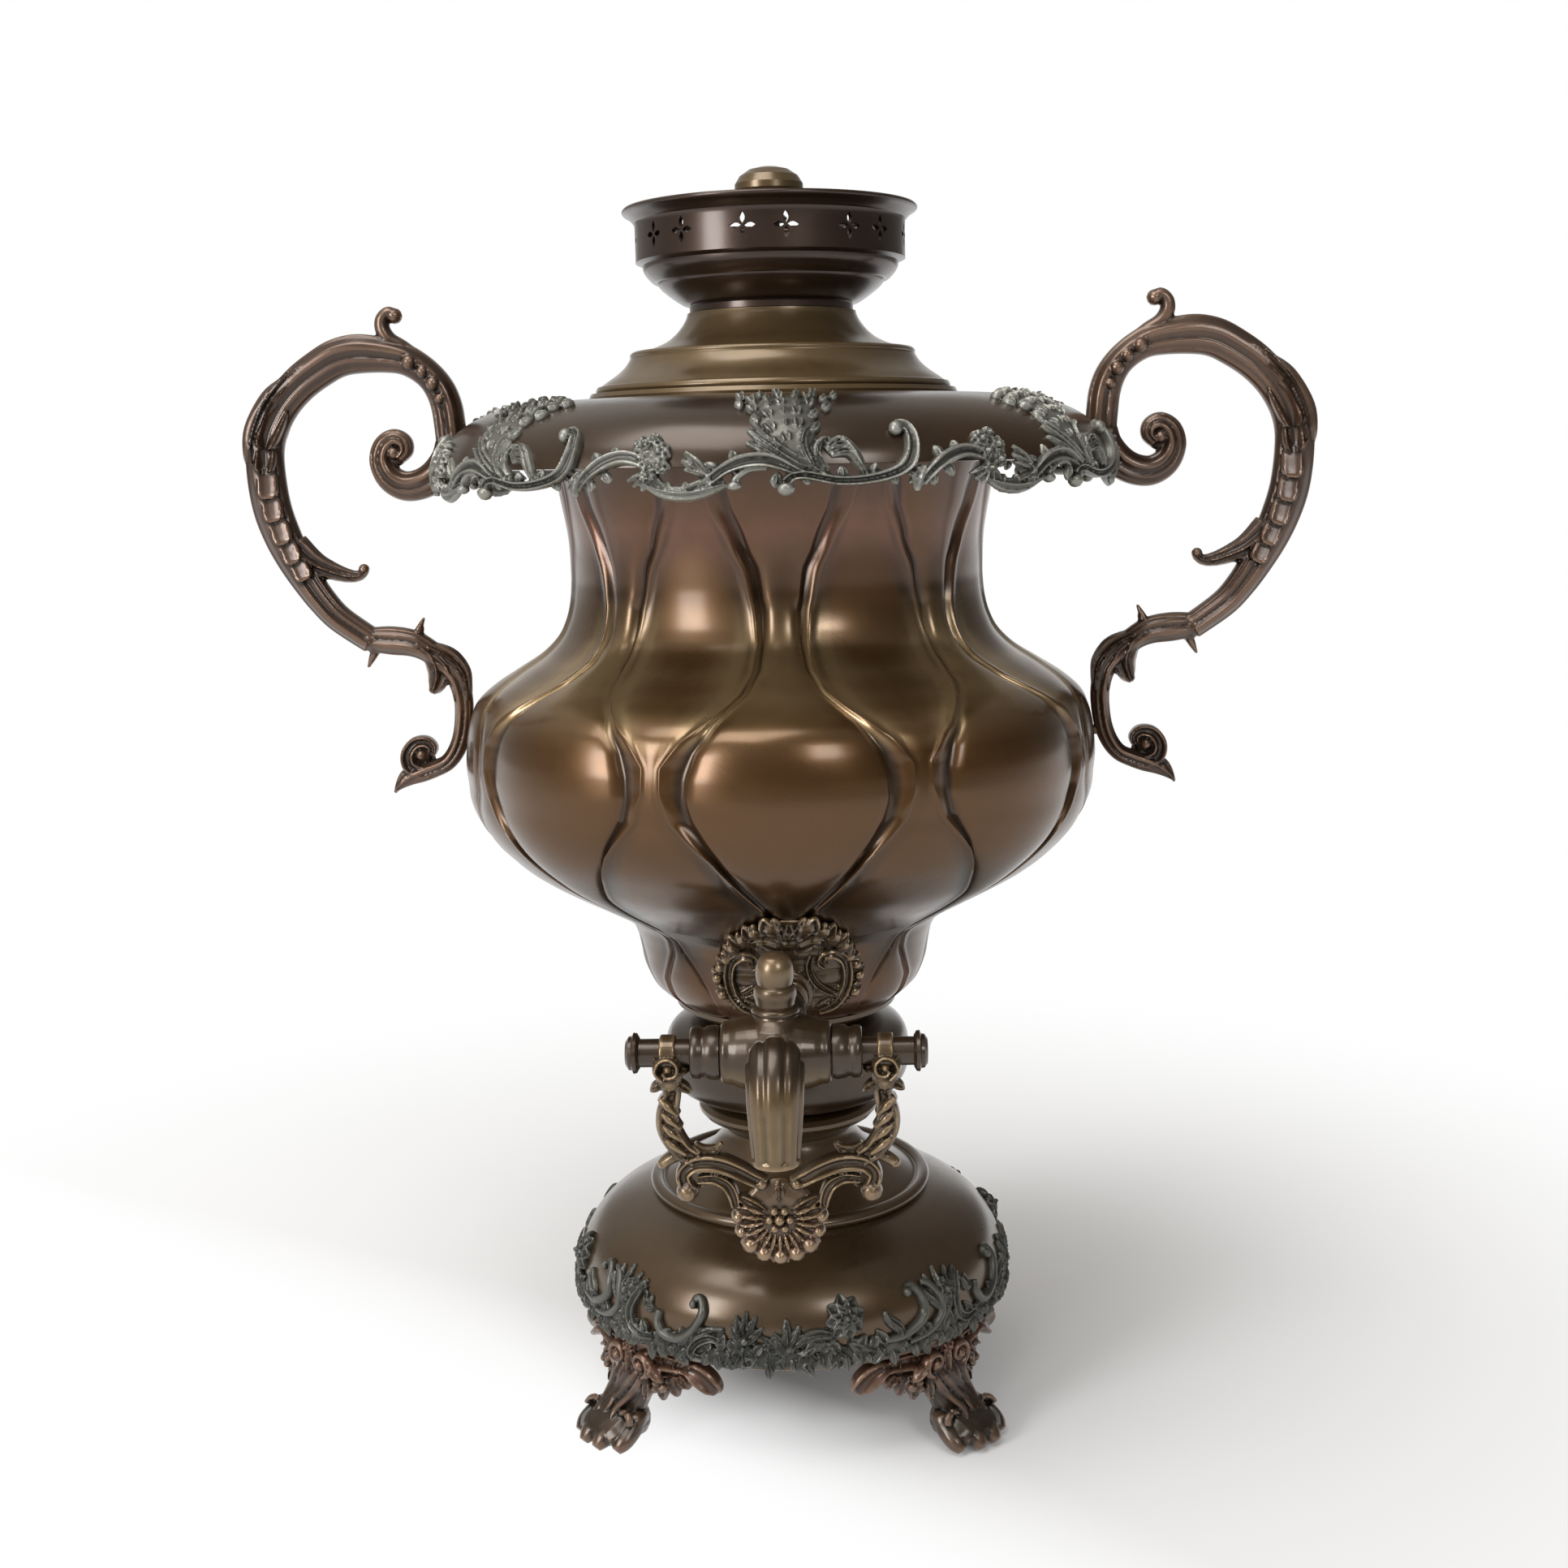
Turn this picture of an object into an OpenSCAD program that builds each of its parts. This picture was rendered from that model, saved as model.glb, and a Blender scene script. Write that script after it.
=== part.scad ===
// Charcoal samovar: lobed urn on a footed base, with scroll handles and a tap.
// Millimetres. The floor is Z = 0, the axis is X = Y = 0, the tap faces -Y and
// the handles lie along X.

/* [Body] */
// Widest radius of the urn, on the crest of a lobe
belly_r = 129.5; // [120:1:140]
// Narrowest radius of the neck above the lobes
neck_r = 84; // [78:1:90]
// Number of pear-shaped lobes round the urn
lobes = 8; // [6:2:10]
// How far a lobe stands out from the panels between
lobe_h = 4.2; // [2:0.2:6]
// How far the lobes are turned from the tap, in degrees
lobe_turn = 3.2; // [-10:0.1:10]
// Sheet thickness of the urn
wall = 2.6; // [2:0.2:4]

/* [Brim and lid] */
// Outer radius of the overhanging brim
brim_r = 135; // [128:1:142]
// Height of the brim's crown above the floor
brim_top = 418; // [412:1:424]
// Depth of the brim's quarter round
brim_drop = 30; // [24:1:34]
// Radius of the mouth under the lid
mouth_r = 64; // [58:1:68]
// Repeats of the border ornament
border_n = 7; // [5:1:9]
// How far the lid lifts
lid_travel = 70; // [50:5:90]

/* [Flue and crown] */
// Bore of the flue at its top
flue_top = 29; // [26:1:31]
// Bore of the flue at the grate
flue_foot = 38; // [34:1:40]
// Radius of the crown's wall
crown_r = 53.5; // [48:1:58]
// Height of the crown's rim
crown_top = 492; // [484:1:500]
// Pairs of pierced crosses round the crown
cross_pairs = 8; // [4:1:10]

/* [Base] */
// Radius of the base at its rim
base_r = 91; // [88:1:98]
// Height of the base's rim above the floor
base_z = 45; // [40:1:50]
// Height of the base's neck
base_top = 114; // [108:1:116]
// Radius of the round air collar
ball_r = 51.6; // [46:1:56]

/* [Handles] */
// Distance from the axis to the outside of a handle
handle_reach = 216; // [208:1:224]
// Thickness of the handle casting, front to back
handle_t = 13; // [10:1:16]

/* [Tap] */
// Distance from the axis to the plug's axis
tap_y = 105; // [102:1:110]
// Height of the plug's axis
tap_z = 179; // [176:1:182]
// Radius of the turning plug
plug_r = 8; // [7:0.5:9]
// Radius of the bar at the plug's ends
bar_r = 5.25; // [4.5:0.25:6]
// Half length of the bar, to its end knobs
bar_half = 56; // [52:1:60]
// Bore of the spout
spout_bore = 11; // [9:1:12]

/* [Fits] */
// Gap between pieces that are soldered or screwed together
seat = 0.2; // [0.1:0.05:0.3]
// Radial gap of the turning plug
run = 0.06; // [0.02:0.01:0.1]
// Gap round pieces that lift off
lift = 0.4; // [0.3:0.1:0.8]

/* [Output] */
// Which piece to draw

/* [Hidden] */
$fn = 96;
sector = 360 / lobes;

// colours
bronze = [0.36, 0.27, 0.18];
pewter = [0.36, 0.36, 0.32];
redcast = [0.38, 0.23, 0.15];
copper = [0.45, 0.25, 0.17];
brass = [0.48, 0.38, 0.22];

// heights that the stack shares
floor_z = 170;                    // underside of the urn
shell_z = 172;                    // lowest edge of the urn's wall
mouth_z = brim_top + 3.2;         // top of the seat ring
collar_z = 452;                   // top of the lid's collar
knob_top = 508;
tap_tilt = 9.5;                   // the shank falls this much towards the plug
screw_r = 2;
handle_screw_z = [282, 397];

// ---------- curves ----------

// A smooth run through control points, k steps between each two
function between(a, b, c, d, t) = 0.5 * (2 * b + (c - a) * t
  + (2 * a - 5 * b + 4 * c - d) * t * t + (3 * b - a - 3 * c + d) * t * t * t);
function smooth(p, k) = [for (i = [0 : len(p) - 2]) for (j = [0 : k - 1])
    between(p[max(i - 1, 0)], p[i], p[i + 1], p[min(i + 2, len(p) - 1)], j / k),
  p[len(p) - 1]];
function turn(a, r, z) = [r * sin(a), -r * cos(a), z];   // a = 0 is the front
function unit(v) = v / max(norm(v), 1e-9);
// Superellipse: how far out at a height share h of 0 to 1
function rounded(h, e) = pow(max(0, 1 - pow(h, e)), 1 / e);

// ---------- solids from rings ----------

// Rings of equal length, capped at both ends
module skin(rings) {
  n = len(rings[0]);
  m = len(rings);
  polyhedron([for (r = rings) each r],
    concat([[for (i = [n - 1 : -1 : 0]) i], [for (i = [0 : n - 1]) (m - 1) * n + i]],
      [for (j = [0 : m - 2]) for (i = [0 : n - 1]) let (a = j * n + i,
          b = j * n + (i + 1) % n) each [[a, b, b + n], [a, b + n, a + n]]]));
}

// Closed rings that close on themselves: a hollow of revolution with any outline
module hollow(rings) {
  n = len(rings[0]);
  m = len(rings);
  polyhedron([for (r = rings) each r],
    [for (j = [0 : m - 1]) for (i = [0 : n - 1]) let (a = j * n + i,
        b = j * n + (i + 1) % n, c = ((j + 1) % m) * n + i,
        d = ((j + 1) % m) * n + (i + 1) % n) each [[a, d, b], [a, c, d]]]);
}

// A cast scroll in the XZ plane. Points are [x, z, half width]
module scroll(points, thick, k = 1, sides = 6) {
  p = smooth(points, k);
  e = len(p) - 1;
  skin([for (i = [0 : e]) let (d = unit([for (j = [0, 1]) p[min(i + 1, e)][j]
        - p[max(i - 1, 0)][j]]), r = p[i][2]) [for (s = [0 : sides - 1])
        let (a = -360 * (s + 0.5) / sides) [p[i].x + d.y * r * cos(a),
          thick(r) * sin(a), p[i].y - d.x * r * cos(a)]]]);
}

// A scroll laid on a round surface. Points are [angle, height, half width];
// carrier(z) is the radius under it, rise is how far it stands out
module relief(points, carrier, rise, k = 1, sides = 5) {
  p = smooth(points, k);
  e = len(p) - 1;
  skin([for (i = [0 : e]) let (q = p[i], per = 57.3 / carrier(q.y),
      d = unit([(p[min(i + 1, e)].x - p[max(i - 1, 0)].x) / per,
          p[min(i + 1, e)].y - p[max(i - 1, 0)].y])) [for (s = [0 : sides - 1])
        let (a = 360 * (s + 0.5) / sides, w = q[2] * cos(a),
          z = q.y - d.x * w) turn(q.x + d.y * w * per,
          carrier(z) + rise * (0.56 + 0.55 * sin(a)), z)]]);
}

// ---------- outlines ----------

// Crest radius of the urn against height
body_line = [[172, 46.5], [175, 50.5], [180, 55.6], [187.5, 59.2], [194.6, 60.6],
  [201.7, 62.4], [209, 67], [216.6, 80], [224.2, 94], [231.7, 105], [239, 113],
  [246, 119.6], [253, 124.2], [260, 127.2], [267, 128.9], [273.5, belly_r],
  [280, 129.2], [286.6, 128.4], [293.2, 126.8], [299.6, 123.8], [306, 116.6],
  [312.2, 106.8], [318.5, 96.8], [325, 90.2], [331.5, 86.8], [338, 85],
  [344.6, neck_r + 0.2], [351, neck_r], [364, neck_r + 0.4], [377, neck_r + 2.4],
  [388, neck_r + 4.5], [400, neck_r + 8], [412, neck_r + 11]];
// Half angle of a lobe against height, for eight lobes
lobe_line = [[172, 13.5], [180, 12.6], [187.5, 11.2], [195, 6.8], [201, 2.6], [206, 1.6], [214, 1.8],
  [222, 2.8], [232, 4.9], [241, 7.9], [250, 11.1], [260, 13.9], [268, 16.2],
  [275.5, 17.2], [284, 17], [293, 15.6], [299, 13.4], [303, 12.2], [307, 10],
  [312, 7.2], [319, 5.3], [329, 4.7], [340, 4.9], [350, 6], [361, 8.6], [369, 10.6],
  [377, 12.6], [388, 14], [412, 15]];
// How much of the lobe's height there is
lobe_share = [[172, 0.25], [196, 0.25], [209, 0.15], [222, 0.6], [240, 1], [290, 1],
  [330, 0.6], [364, 0.6], [385, 0.4], [398, 0.05], [412, 0]];
function body_r(z) = lookup(z, body_line);
function lobe_w(z) = lookup(z, lobe_line) * 8 / lobes;
// Columns of one lobe and its panel, as shares of the lobe's half angle
lobe_cols = [-0.94, -0.55, 0, 0.55, 0.94];
panel_cols = [0.08, 0.5, 0.92];
function body_ring(z) = let (w = lobe_w(z), h = lobe_h * lookup(z, lobe_share),
    r = body_r(z)) [for (n = [0 : lobes - 1]) each concat(
      [for (u = lobe_cols) turn(lobe_turn + n * sector + u * w, r - h * pow(abs(u), 2.4) * 0.9, z)],
      [for (u = panel_cols) turn(lobe_turn + n * sector + w + u * (sector - 2 * w),
          r - h * (1 - 0.22 * (1 - pow(2 * u - 1, 2))), z)])];
function plain_ring(z, r, n) = [for (i = [0 : n - 1]) turn(360 * i / n, r, z)];
columns = lobes * (len(lobe_cols) + len(panel_cols));

// Brim: a superelliptic quarter round
function brim_at(z) = 85 + (brim_r - 85)
  * rounded(max(0, min(1, (z - brim_top + brim_drop) / brim_drop)), 2.3);
function brim_curve(t) = [for (i = [0 : 20]) let (a = 90 * i / 20)
    [85 + (brim_r - 85 - t) * pow(sin(a), 2 / 2.3),
      brim_top - brim_drop + (brim_drop - t) * pow(cos(a), 2 / 2.3)]];
// Base: the dome's outside, from the rim up to the neck
base_line = [[base_r - 1, base_z], [base_r + 1, base_z + 1.6], [base_r + 1, base_z + 4],
  [base_r, base_z + 6], [base_r - 0.2, 58], [base_r - 2, 66], [base_r - 5.6, 72.5],
  [base_r - 11, 78.5], [base_r - 17, 82.7], [base_r - 25, 86.4], [base_r - 32.5, 89],
  [base_r - 34, 89.4], [base_r - 34, 91.4], [base_r - 35.5, 92.4], [48, 95.5],
  [41, 99], [35, 103], [30.6, 107.6], [28.2, 111], [27.4, base_top]];
function base_at(z) = lookup(z, [[52, base_r], [58, base_r - 0.2], [66, base_r - 2],
  [72.5, base_r - 5.6], [78.5, base_r - 11]]);

// Turned solid from an outline of [radius, height]
module turned(outline) rotate_extrude() polygon(outline);
// Turned sheet: an outline of points and the same one set in by t
module spun(line, t, up = 0) turned(concat(line,
    [for (i = [len(line) - 1 : -1 : 0]) [max(0, line[i].x - t),
      max(line[0].y, line[i].y - up)]]));

// ---------- feet and base ----------

// Paw foot on the +X side, drawn with its screw at foot_home from the axis
foot_home = 87;
foot_r = base_r - 8;              // where the screws really are
module foot() color(redcast) difference() {
  union() {
    // toes
    for (y = [-10.2, -3.5, 3.5, 10.2]) hull() {
      translate([94, y * 0.75, 9]) sphere(6.4, $fn = 5);
      translate([110 - abs(y) * 0.35, y * 1.05, 4.5]) sphere(5.6, $fn = 5);
    }
    // heel and ankle
    hull() {
      translate([87, 0, 6.2]) scale([1, 1.25, 1]) sphere(7.6, $fn = 6);
      translate([97, 0, 10]) scale([1, 1.4, 1]) sphere(6.5, $fn = 6);
      translate([86.5, 0, 25]) sphere(7.6, $fn = 6);
    }
    // shin under the bracket
    hull() {
      translate([86.5, 0, 24]) sphere(7.8, $fn = 6);
      translate([88.5, 0, 38]) scale([0.75, 1.5, 1]) sphere(8.6, $fn = 6);
    }
    // acanthus eyes
    for (y = [-9, 9]) hull() {
      translate([92.5, y, 36]) sphere(4.2, $fn = 6);
      translate([93.5, y * 0.35, 28]) sphere(3.6, $fn = 6);
    }
    // bracket leaves that run along the rim
    for (s = [-1, 1]) rotate([0, 0, 90])
      relief([[0, 38, 6.3], [s * 9, 38, 6.2], [s * 17, 38.6, 4.4], [s * 24, 39.6, 3.4],
        [s * 28.5, 36.6, 2.8], [s * 29.5, 33.6, 1.4]], function (z) foot_home - 0.5, 8);
  }
  translate([60, -60, -20]) cube([80, 120, 20]);
  translate([60, -60, base_z - seat]) cube([80, 120, 20]);
  translate([foot_home, 0, base_z - 12]) cylinder(h = 20, r = screw_r + 0.1, $fn = 12);
}
module foot_at(a) rotate([0, 0, a]) translate([foot_r - foot_home, 0, 0]) foot();

module foot_screws() color(brass) for (a = [45 : 90 : 315]) rotate([0, 0, a])
  translate([foot_r, 0, base_z - 11]) {
    cylinder(h = 13.4, r = screw_r);
    translate([0, 0, 13.4 + seat]) cylinder(h = 2.6, r = 4);
    translate([0, 0, 13]) cylinder(h = 1, r = screw_r);
  }

// Flat ring inside the rim that takes the foot screws
module base_ring() color(bronze) difference() {
  turned([[base_r - 19, base_z], [base_r - 4, base_z], [base_r - 4, base_z + 2.4],
    [base_r - 19, base_z + 2.4]]);
  for (a = [45 : 90 : 315]) rotate([0, 0, a]) translate([foot_r, 0, base_z - 1])
    cylinder(h = 5, r = screw_r + 0.1);
}

module base_dome() color(bronze) spun(base_line, 2.4, 1.6);

// Scroll-and-leaf band round the rim, one repeat from foot to foot
apron_n = 4;
apron_cols = 22;
apron_top = [[0, 16], [0.05, 10], [0.1, 15], [0.15, 21], [0.19, 17], [0.24, 4.6],
  [0.29, 6], [0.34, 13], [0.38, 9], [0.43, 5.4], [0.5, 14], [0.57, 19], [0.63, 13],
  [0.69, 6], [0.75, 5], [0.81, 11], [0.86, 20], [0.91, 20], [0.95, 10], [1, 16]];
apron_low = [[0, 2], [0.2, 2], [0.27, 1.6], [0.31, -1], [0.35, -2.6], [0.4, 1.4],
  [0.47, 0.4], [0.53, -2.8], [0.58, 0.6], [0.64, -3], [0.69, 0.8], [0.75, 2], [1, 2]];
apron_out = [[0, 2.8], [0.07, 1.4], [0.14, 3.2], [0.2, 2.8], [0.26, 1.4], [0.34, 2.8],
  [0.42, 1.4], [0.5, 2.6], [0.57, 3.4], [0.65, 1.6], [0.75, 2.4], [0.8, 1.4], [0.88, 3.2],
  [0.95, 1.6], [1, 2.8]];
module base_apron() color(pewter) hollow([for (i = [apron_n * apron_cols : -1 : 1])
    let (share = i / apron_cols) band_ring(share - floor(share),
      360 * (share + 0.5) / apron_n, base_z + 0.6, apron_top, apron_low, apron_out,
      function (z) base_at(z) + 1.2)]);

module neck_ring() color(bronze) turned([[20, base_top + seat], [27.4, base_top + seat],
  [28.4, 116.4], [32.5, 118.6], [36.4, 120.4], [38.2, 122.6], [38.2, 124.2], [36.6, 126],
  [33.5, 127], [20, 127]]);

// Hollow ball that lets air to the grate, with its air holes at the back
ball_z = 147;
ball_h = 20;
function ball_curve(t, from, to) = [for (i = [-6 : 6]) let (a = i * (to - from) / 2 * 9)
    [(ball_r - t) * pow(cos(a), 0.625),
      ball_z + sign(a) * (ball_h - t) * pow(abs(sin(a)), 0.625)]];
module air_collar() color(bronze) difference() {
  turned(concat([[20, 127 + seat], [33, 127 + seat]], ball_curve(0, -1, 1),
    [[30, 166.6], [30, 164.2]], ball_curve(2.4, 1, -1), [[32, 129.6], [20, 129.6]]));
  // air holes
  for (a = [-24 : 12 : 24], z = [-5, 5]) rotate([0, 0, a]) translate([0, 20, ball_z + z])
    rotate([-90, 0, 0]) cylinder(h = 40, r = 2.6);
}

module collar_ring() color(bronze) turned([[31, 166.6 + seat], [40.6, 166.6 + seat],
  [41.4, 168], [40.6, floor_z - seat], [31, floor_z - seat]]);

module grate() color(bronze) difference() {
  translate([0, 0, floor_z]) cylinder(h = 3, r = flue_foot - 0.6);
  for (ring = [[0, 1], [11, 6], [21, 12], [30, 18]]) for (i = [0 : ring[1] - 1])
    rotate([0, 0, 360 * i / ring[1]]) translate([ring[0], 0, floor_z - 1])
      cylinder(h = 5, r = 2.6);
}

// ---------- urn ----------

// Ring that closes the urn round the fire tube
module body_floor() color(copper) turned([[flue_foot + 2 + seat, floor_z],
  [46.2, floor_z], [46.2, shell_z - seat], [42.4, shell_z - seat], [42.4, shell_z + 2.2],
  [flue_foot + 2 + seat, shell_z + 2.2]]);

outside_z = [172, 176, 182, 192, 201.7, 209, 216.6, 224.2, 234, 248, 262, 276, 290, 299,
  305, 311, 319, 330, 350, 372, 391, 412];
inside_z = [412, 364, 338, 318, 304, 290, 270, 248, 222, 204, 184, 172];
module body_shell() color(bronze) difference() {
  // the outside has the lobes, the inside is turned
  body_wall();
  shank_at() translate([0, 0, 30]) cylinder(h = 50, r = 6.3);
  for (s = [-1, 1]) translate([0, 0, handle_screw_z[0]]) rotate([0, s * 90, 0])
    translate([0, 0, belly_r - 29.5]) cylinder(h = 60, r = screw_r + 0.2);
}
module body_wall() hollow(concat([for (z = outside_z) body_ring(z)],
    [for (z = inside_z) plain_ring(z, body_r(z) - wall
          - lobe_h * lookup(z, lobe_share) * 0.95 - inside_ease(z), columns)]));
// steep shoulders need the inside set in a little more
function inside_ease(z) = lookup(z, [[176, 0], [200, 0.4], [212, 2.6], [232, 1.6],
  [250, 0.4], [292, 0.5], [304, 2.4], [316, 2.6], [326, 0.8], [340, 0]]);

module fire_tube() color(bronze) turned([[flue_foot, floor_z], [flue_foot + 2, floor_z],
  [flue_foot + 2, 200], [flue_top + 2, 430], [flue_top + 2, 449], [flue_top, 449],
  [flue_top, 430], [flue_foot, 200]]);

module brim() color(bronze) difference() {
  // the rim stops short, so that the border alone makes the lower edge
  turned(concat([[mouth_r, brim_top - 2.2], [mouth_r, brim_top]],
    [for (i = [0 : 19]) brim_curve(0)[i]], [for (i = [19 : -1 : 0]) brim_curve(2.2)[i]]));
  for (s = [-1, 1]) translate([0, 0, handle_screw_z[1]]) rotate([0, s * 90, 0])
    translate([0, 0, brim_r - 35]) cylinder(h = 60, r = screw_r + 0.2);
}

// Border band: how its top edge, lower edge and relief run over one repeat.
// u = 0 is the middle of a shell spray, u = 1 the next one
border_top = [[0, 25], [0.04, 24], [0.09, 18], [0.13, 10], [0.2, 12], [0.26, 7],
  [0.31, 12], [0.35, 17.5], [0.4, 13], [0.44, 5], [0.5, 10], [0.56, 9], [0.63, 14],
  [0.68, 7], [0.76, 6], [0.84, 10], [0.9, 12], [0.95, 21], [1, 25]];
border_low = [[0, 1], [0.05, -3.5], [0.1, 4], [0.16, -1], [0.22, -3.6], [0.3, -3.4],
  [0.37, -1], [0.4, -5.2], [0.46, 0], [0.54, 2], [0.6, -2.6], [0.66, 1.4], [0.72, -4.4],
  [0.78, -1], [0.86, -3.8], [0.93, -1], [1, 1]];
border_out = [[0, 3.6], [0.06, 1.6], [0.1, 2.4], [0.15, 4], [0.22, 2], [0.3, 4],
  [0.36, 3.8], [0.42, 1.8], [0.5, 4], [0.56, 2.2], [0.63, 3.8], [0.7, 1.8], [0.78, 3.8],
  [0.86, 2], [0.93, 2.4], [1, 3.6]];
border_cols = 17;
function band_ring(share, a, z0, top, low, out, carrier) = let (hi = z0 + lookup(share, top),
    lo = z0 + lookup(share, low), w = lookup(share, out))
  [turn(a, carrier(lo) + 0.1, lo), turn(a, carrier(lo) + 1.4, lo),
    turn(a, carrier(lo * 0.6 + hi * 0.4) + w, lo * 0.66 + hi * 0.34),
    turn(a, carrier(hi) + 1, hi - 0.6), turn(a, carrier(hi) + 0.1, hi),
    for (f = [0.75, 0.5, 0.25]) turn(a, carrier(lo + (hi - lo) * f) + 0.1,
      lo + (hi - lo) * f)];
module brim_border() color(pewter) difference() {
  // i runs backwards so that the faces look outward
  hollow([for (i = [border_n * border_cols : -1 : 1]) let (share = i / border_cols)
      band_ring(share - floor(share), 360 * share / border_n, brim_top - brim_drop,
        border_top, border_low, border_out, function (z) brim_at(z - 0.8) + 0.5)]);
  // clear of the handles
  for (s = [-1, 1]) translate([s * (brim_r - 1), 0, brim_top - brim_drop + 6])
    cube([30, 16, 50], center = true);
}

module seat_ring() color(bronze) turned([[mouth_r - 1.6, brim_top + seat],
  [73.4, brim_top + seat], [73.8, brim_top + 1.6], [73, mouth_z], [mouth_r - 1.6, mouth_z]]);

// ---------- lid and crown ----------

lid_out = [[70.5, mouth_z + 0.3], [71, mouth_z + 1.2], [70.3, mouth_z + 2.6],
  [66.5, 426], [62.4, 428.4], [58.6, 432.2], [57, 435.2], [56.2, 436.6], [53, 437.8],
  [46.5, 439.6], [41.4, 441.6], [flue_top + 8.6, 444.4], [flue_top + 6.6, 447.8],
  [flue_top + 6.2, collar_z]];
module lid() color(bronze) turned(concat(lid_out, [[flue_top + 4.2, collar_z],
  [flue_top + 4.6, 447], [flue_top + 6.6, 443], [39.8, 439.8], [45.4, 437.6], [52.4, 435.6], [54.4, 434], [56.6, 430.8],
  [60, 426.6], [mouth_r - 4, mouth_z + 2.4], [mouth_r - 4, mouth_z - 5],
  [mouth_r - 1.6 - lift, mouth_z - 5], [mouth_r - 1.6 - lift, mouth_z + 0.3]]));

crown_out = [[36.8, collar_z + 0.3], [37.2, 454], [40, 457], [44, 460.2], [48.4, 466],
  [51.2, 468.4], [51.6, 470.2], [crown_r, 472], [crown_r, 485], [crown_r + 1, 487],
  [crown_r + 4.2, 490.2], [crown_r + 4.6, crown_top - 1], [crown_r + 4, crown_top]];
module crown() color(redcast) difference() {
  turned(concat(crown_out, [[crown_r - 1.8, crown_top], [crown_r - 2, 474],
    [crown_r - 4, 471.4], [46.4, 468], [42.4, 462.4], [38.6, 459.6], [35.4, 458],
    [flue_top - 2.4, 458], [flue_top - 2.4, 441], [flue_top - lift, 441],
    [flue_top - lift, collar_z + 0.3]]));
  for (n = [0 : cross_pairs - 1], s = [-1, 1])
    rotate([0, 0, n * 360 / cross_pairs + s * 8.8]) translate([0, -crown_r, 478.6])
      rotate([90, 0, 0]) for (q = [0 : 3]) rotate([0, 0, 90 * q]) translate([0, 2.9, -4])
        scale([0.8, 1.15, 1]) cylinder(h = 8, r = 1.7, $fn = 8);
}

module cap() color(bronze) difference() {
  turned([[0, 458.3], [34.6, 458.3], [34.6, 460.4], [31, 461.6], [20, 464.6], [8, 466.4],
    [5.6, 468.6], [4.2, 472], [4, 486.8], [0, 486.8]]);
  translate([0, 0, 450]) cylinder(h = 60, r = 1.9);
}
module cap_knob() color(bronze) difference() {
  turned([[0, 487], [6.4, 487], [7, 488.4], [5, 490.4], [4.6, 493.2], [7.4, 495.2],
    [12.6, 497], [13.6, 499], [13.5, 501.4], [11.6, 504.4], [8, 506.8], [4, knob_top - 0.2],
    [0, knob_top]]);
  translate([0, 0, 480]) cylinder(h = 19, r = 1.9);
}
module cap_screw() color(brass) {
  translate([0, 0, 457.4]) cylinder(h = 41, r = 1.8);
  translate([0, 0, 455.4]) cylinder(h = 2.7, r = 4);
}

// ---------- handles ----------

// The handle is drawn with its roots 131.5 and its outside 215.2 from the axis; out() moves
// a point so that the roots follow the brim and the urn and the outside its reach
function out(x, z) = let (root = lookup(z, [[300, belly_r + 2.8], [385, brim_r - 2.7]]))
  root + (x - 131.5) * (handle_reach - root) / 83.7;
function outs(rows) = [for (p = rows) [out(p[0], p[1]), p[1], p[2]]];

// Main arc, from the brim over the top and down to the knee: [out, height, half width]
arc_line = [[134.5, 401, 4.6], [133, 409, 4.8], [133.6, 418, 5], [137, 426.5, 5.4],
  [143, 433, 6], [153, 438.6, 6.8], [166, 440, 7.2], [180, 437.2, 7.3],
  [193, 429.6, 7.4], [202.4, 419, 7.5], [207.6, 405.8, 7.6], [208.6, 391, 7.6],
  [206, 375.4, 7.2], [199.2, 360.6, 6.8], [189.6, 347, 6.3], [179.4, 334.6, 5.8],
  [171, 325, 5.2]];
brim_scroll = [[134.5, 402, 4.6], [136.4, 394, 4.8], [142, 387.4, 5], [149.8, 385.4, 5],
  [157.6, 389.4, 5], [162.6, 397, 4.6], [161.6, 404.6, 4], [156, 407.6, 3.4],
  [150.6, 403.8, 3], [152, 398.4, 3.4], [156, 399, 3.6]];
lower_s = [[172, 326.4, 5.2], [163, 322.4, 4.8], [152, 322, 4.8], [143.4, 317, 5.2],
  [137.4, 308.4, 5.6], [134.6, 298, 5.8], [134.2, 287, 5.2], [136.4, 277.8, 4.8],
  [143, 270, 4.6], [151.6, 266, 4.4], [159.6, 262.4, 3], [163, 259.4, 1.2]];
foot_curl = [[144, 269.6, 3.4], [153, 268, 3.6], [158.4, 272.6, 3.2], [155.6, 278.2, 3],
  [149.6, 277.8, 2.8], [149, 273.4, 2.6]];
top_curl = [[166, 442, 5], [160.6, 445.6, 4], [155.4, 449.4, 3.4], [151.6, 454, 3.2],
  [153.4, 458.8, 3], [158, 458.6, 2.8], [158.4, 454.2, 2.4]];
inner_leaf = [[194, 352, 4], [185.6, 351.4, 4.2], [177.4, 349.2, 3.6],
  [171.4, 350.6, 2.8], [168.8, 355, 1.2]];
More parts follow.
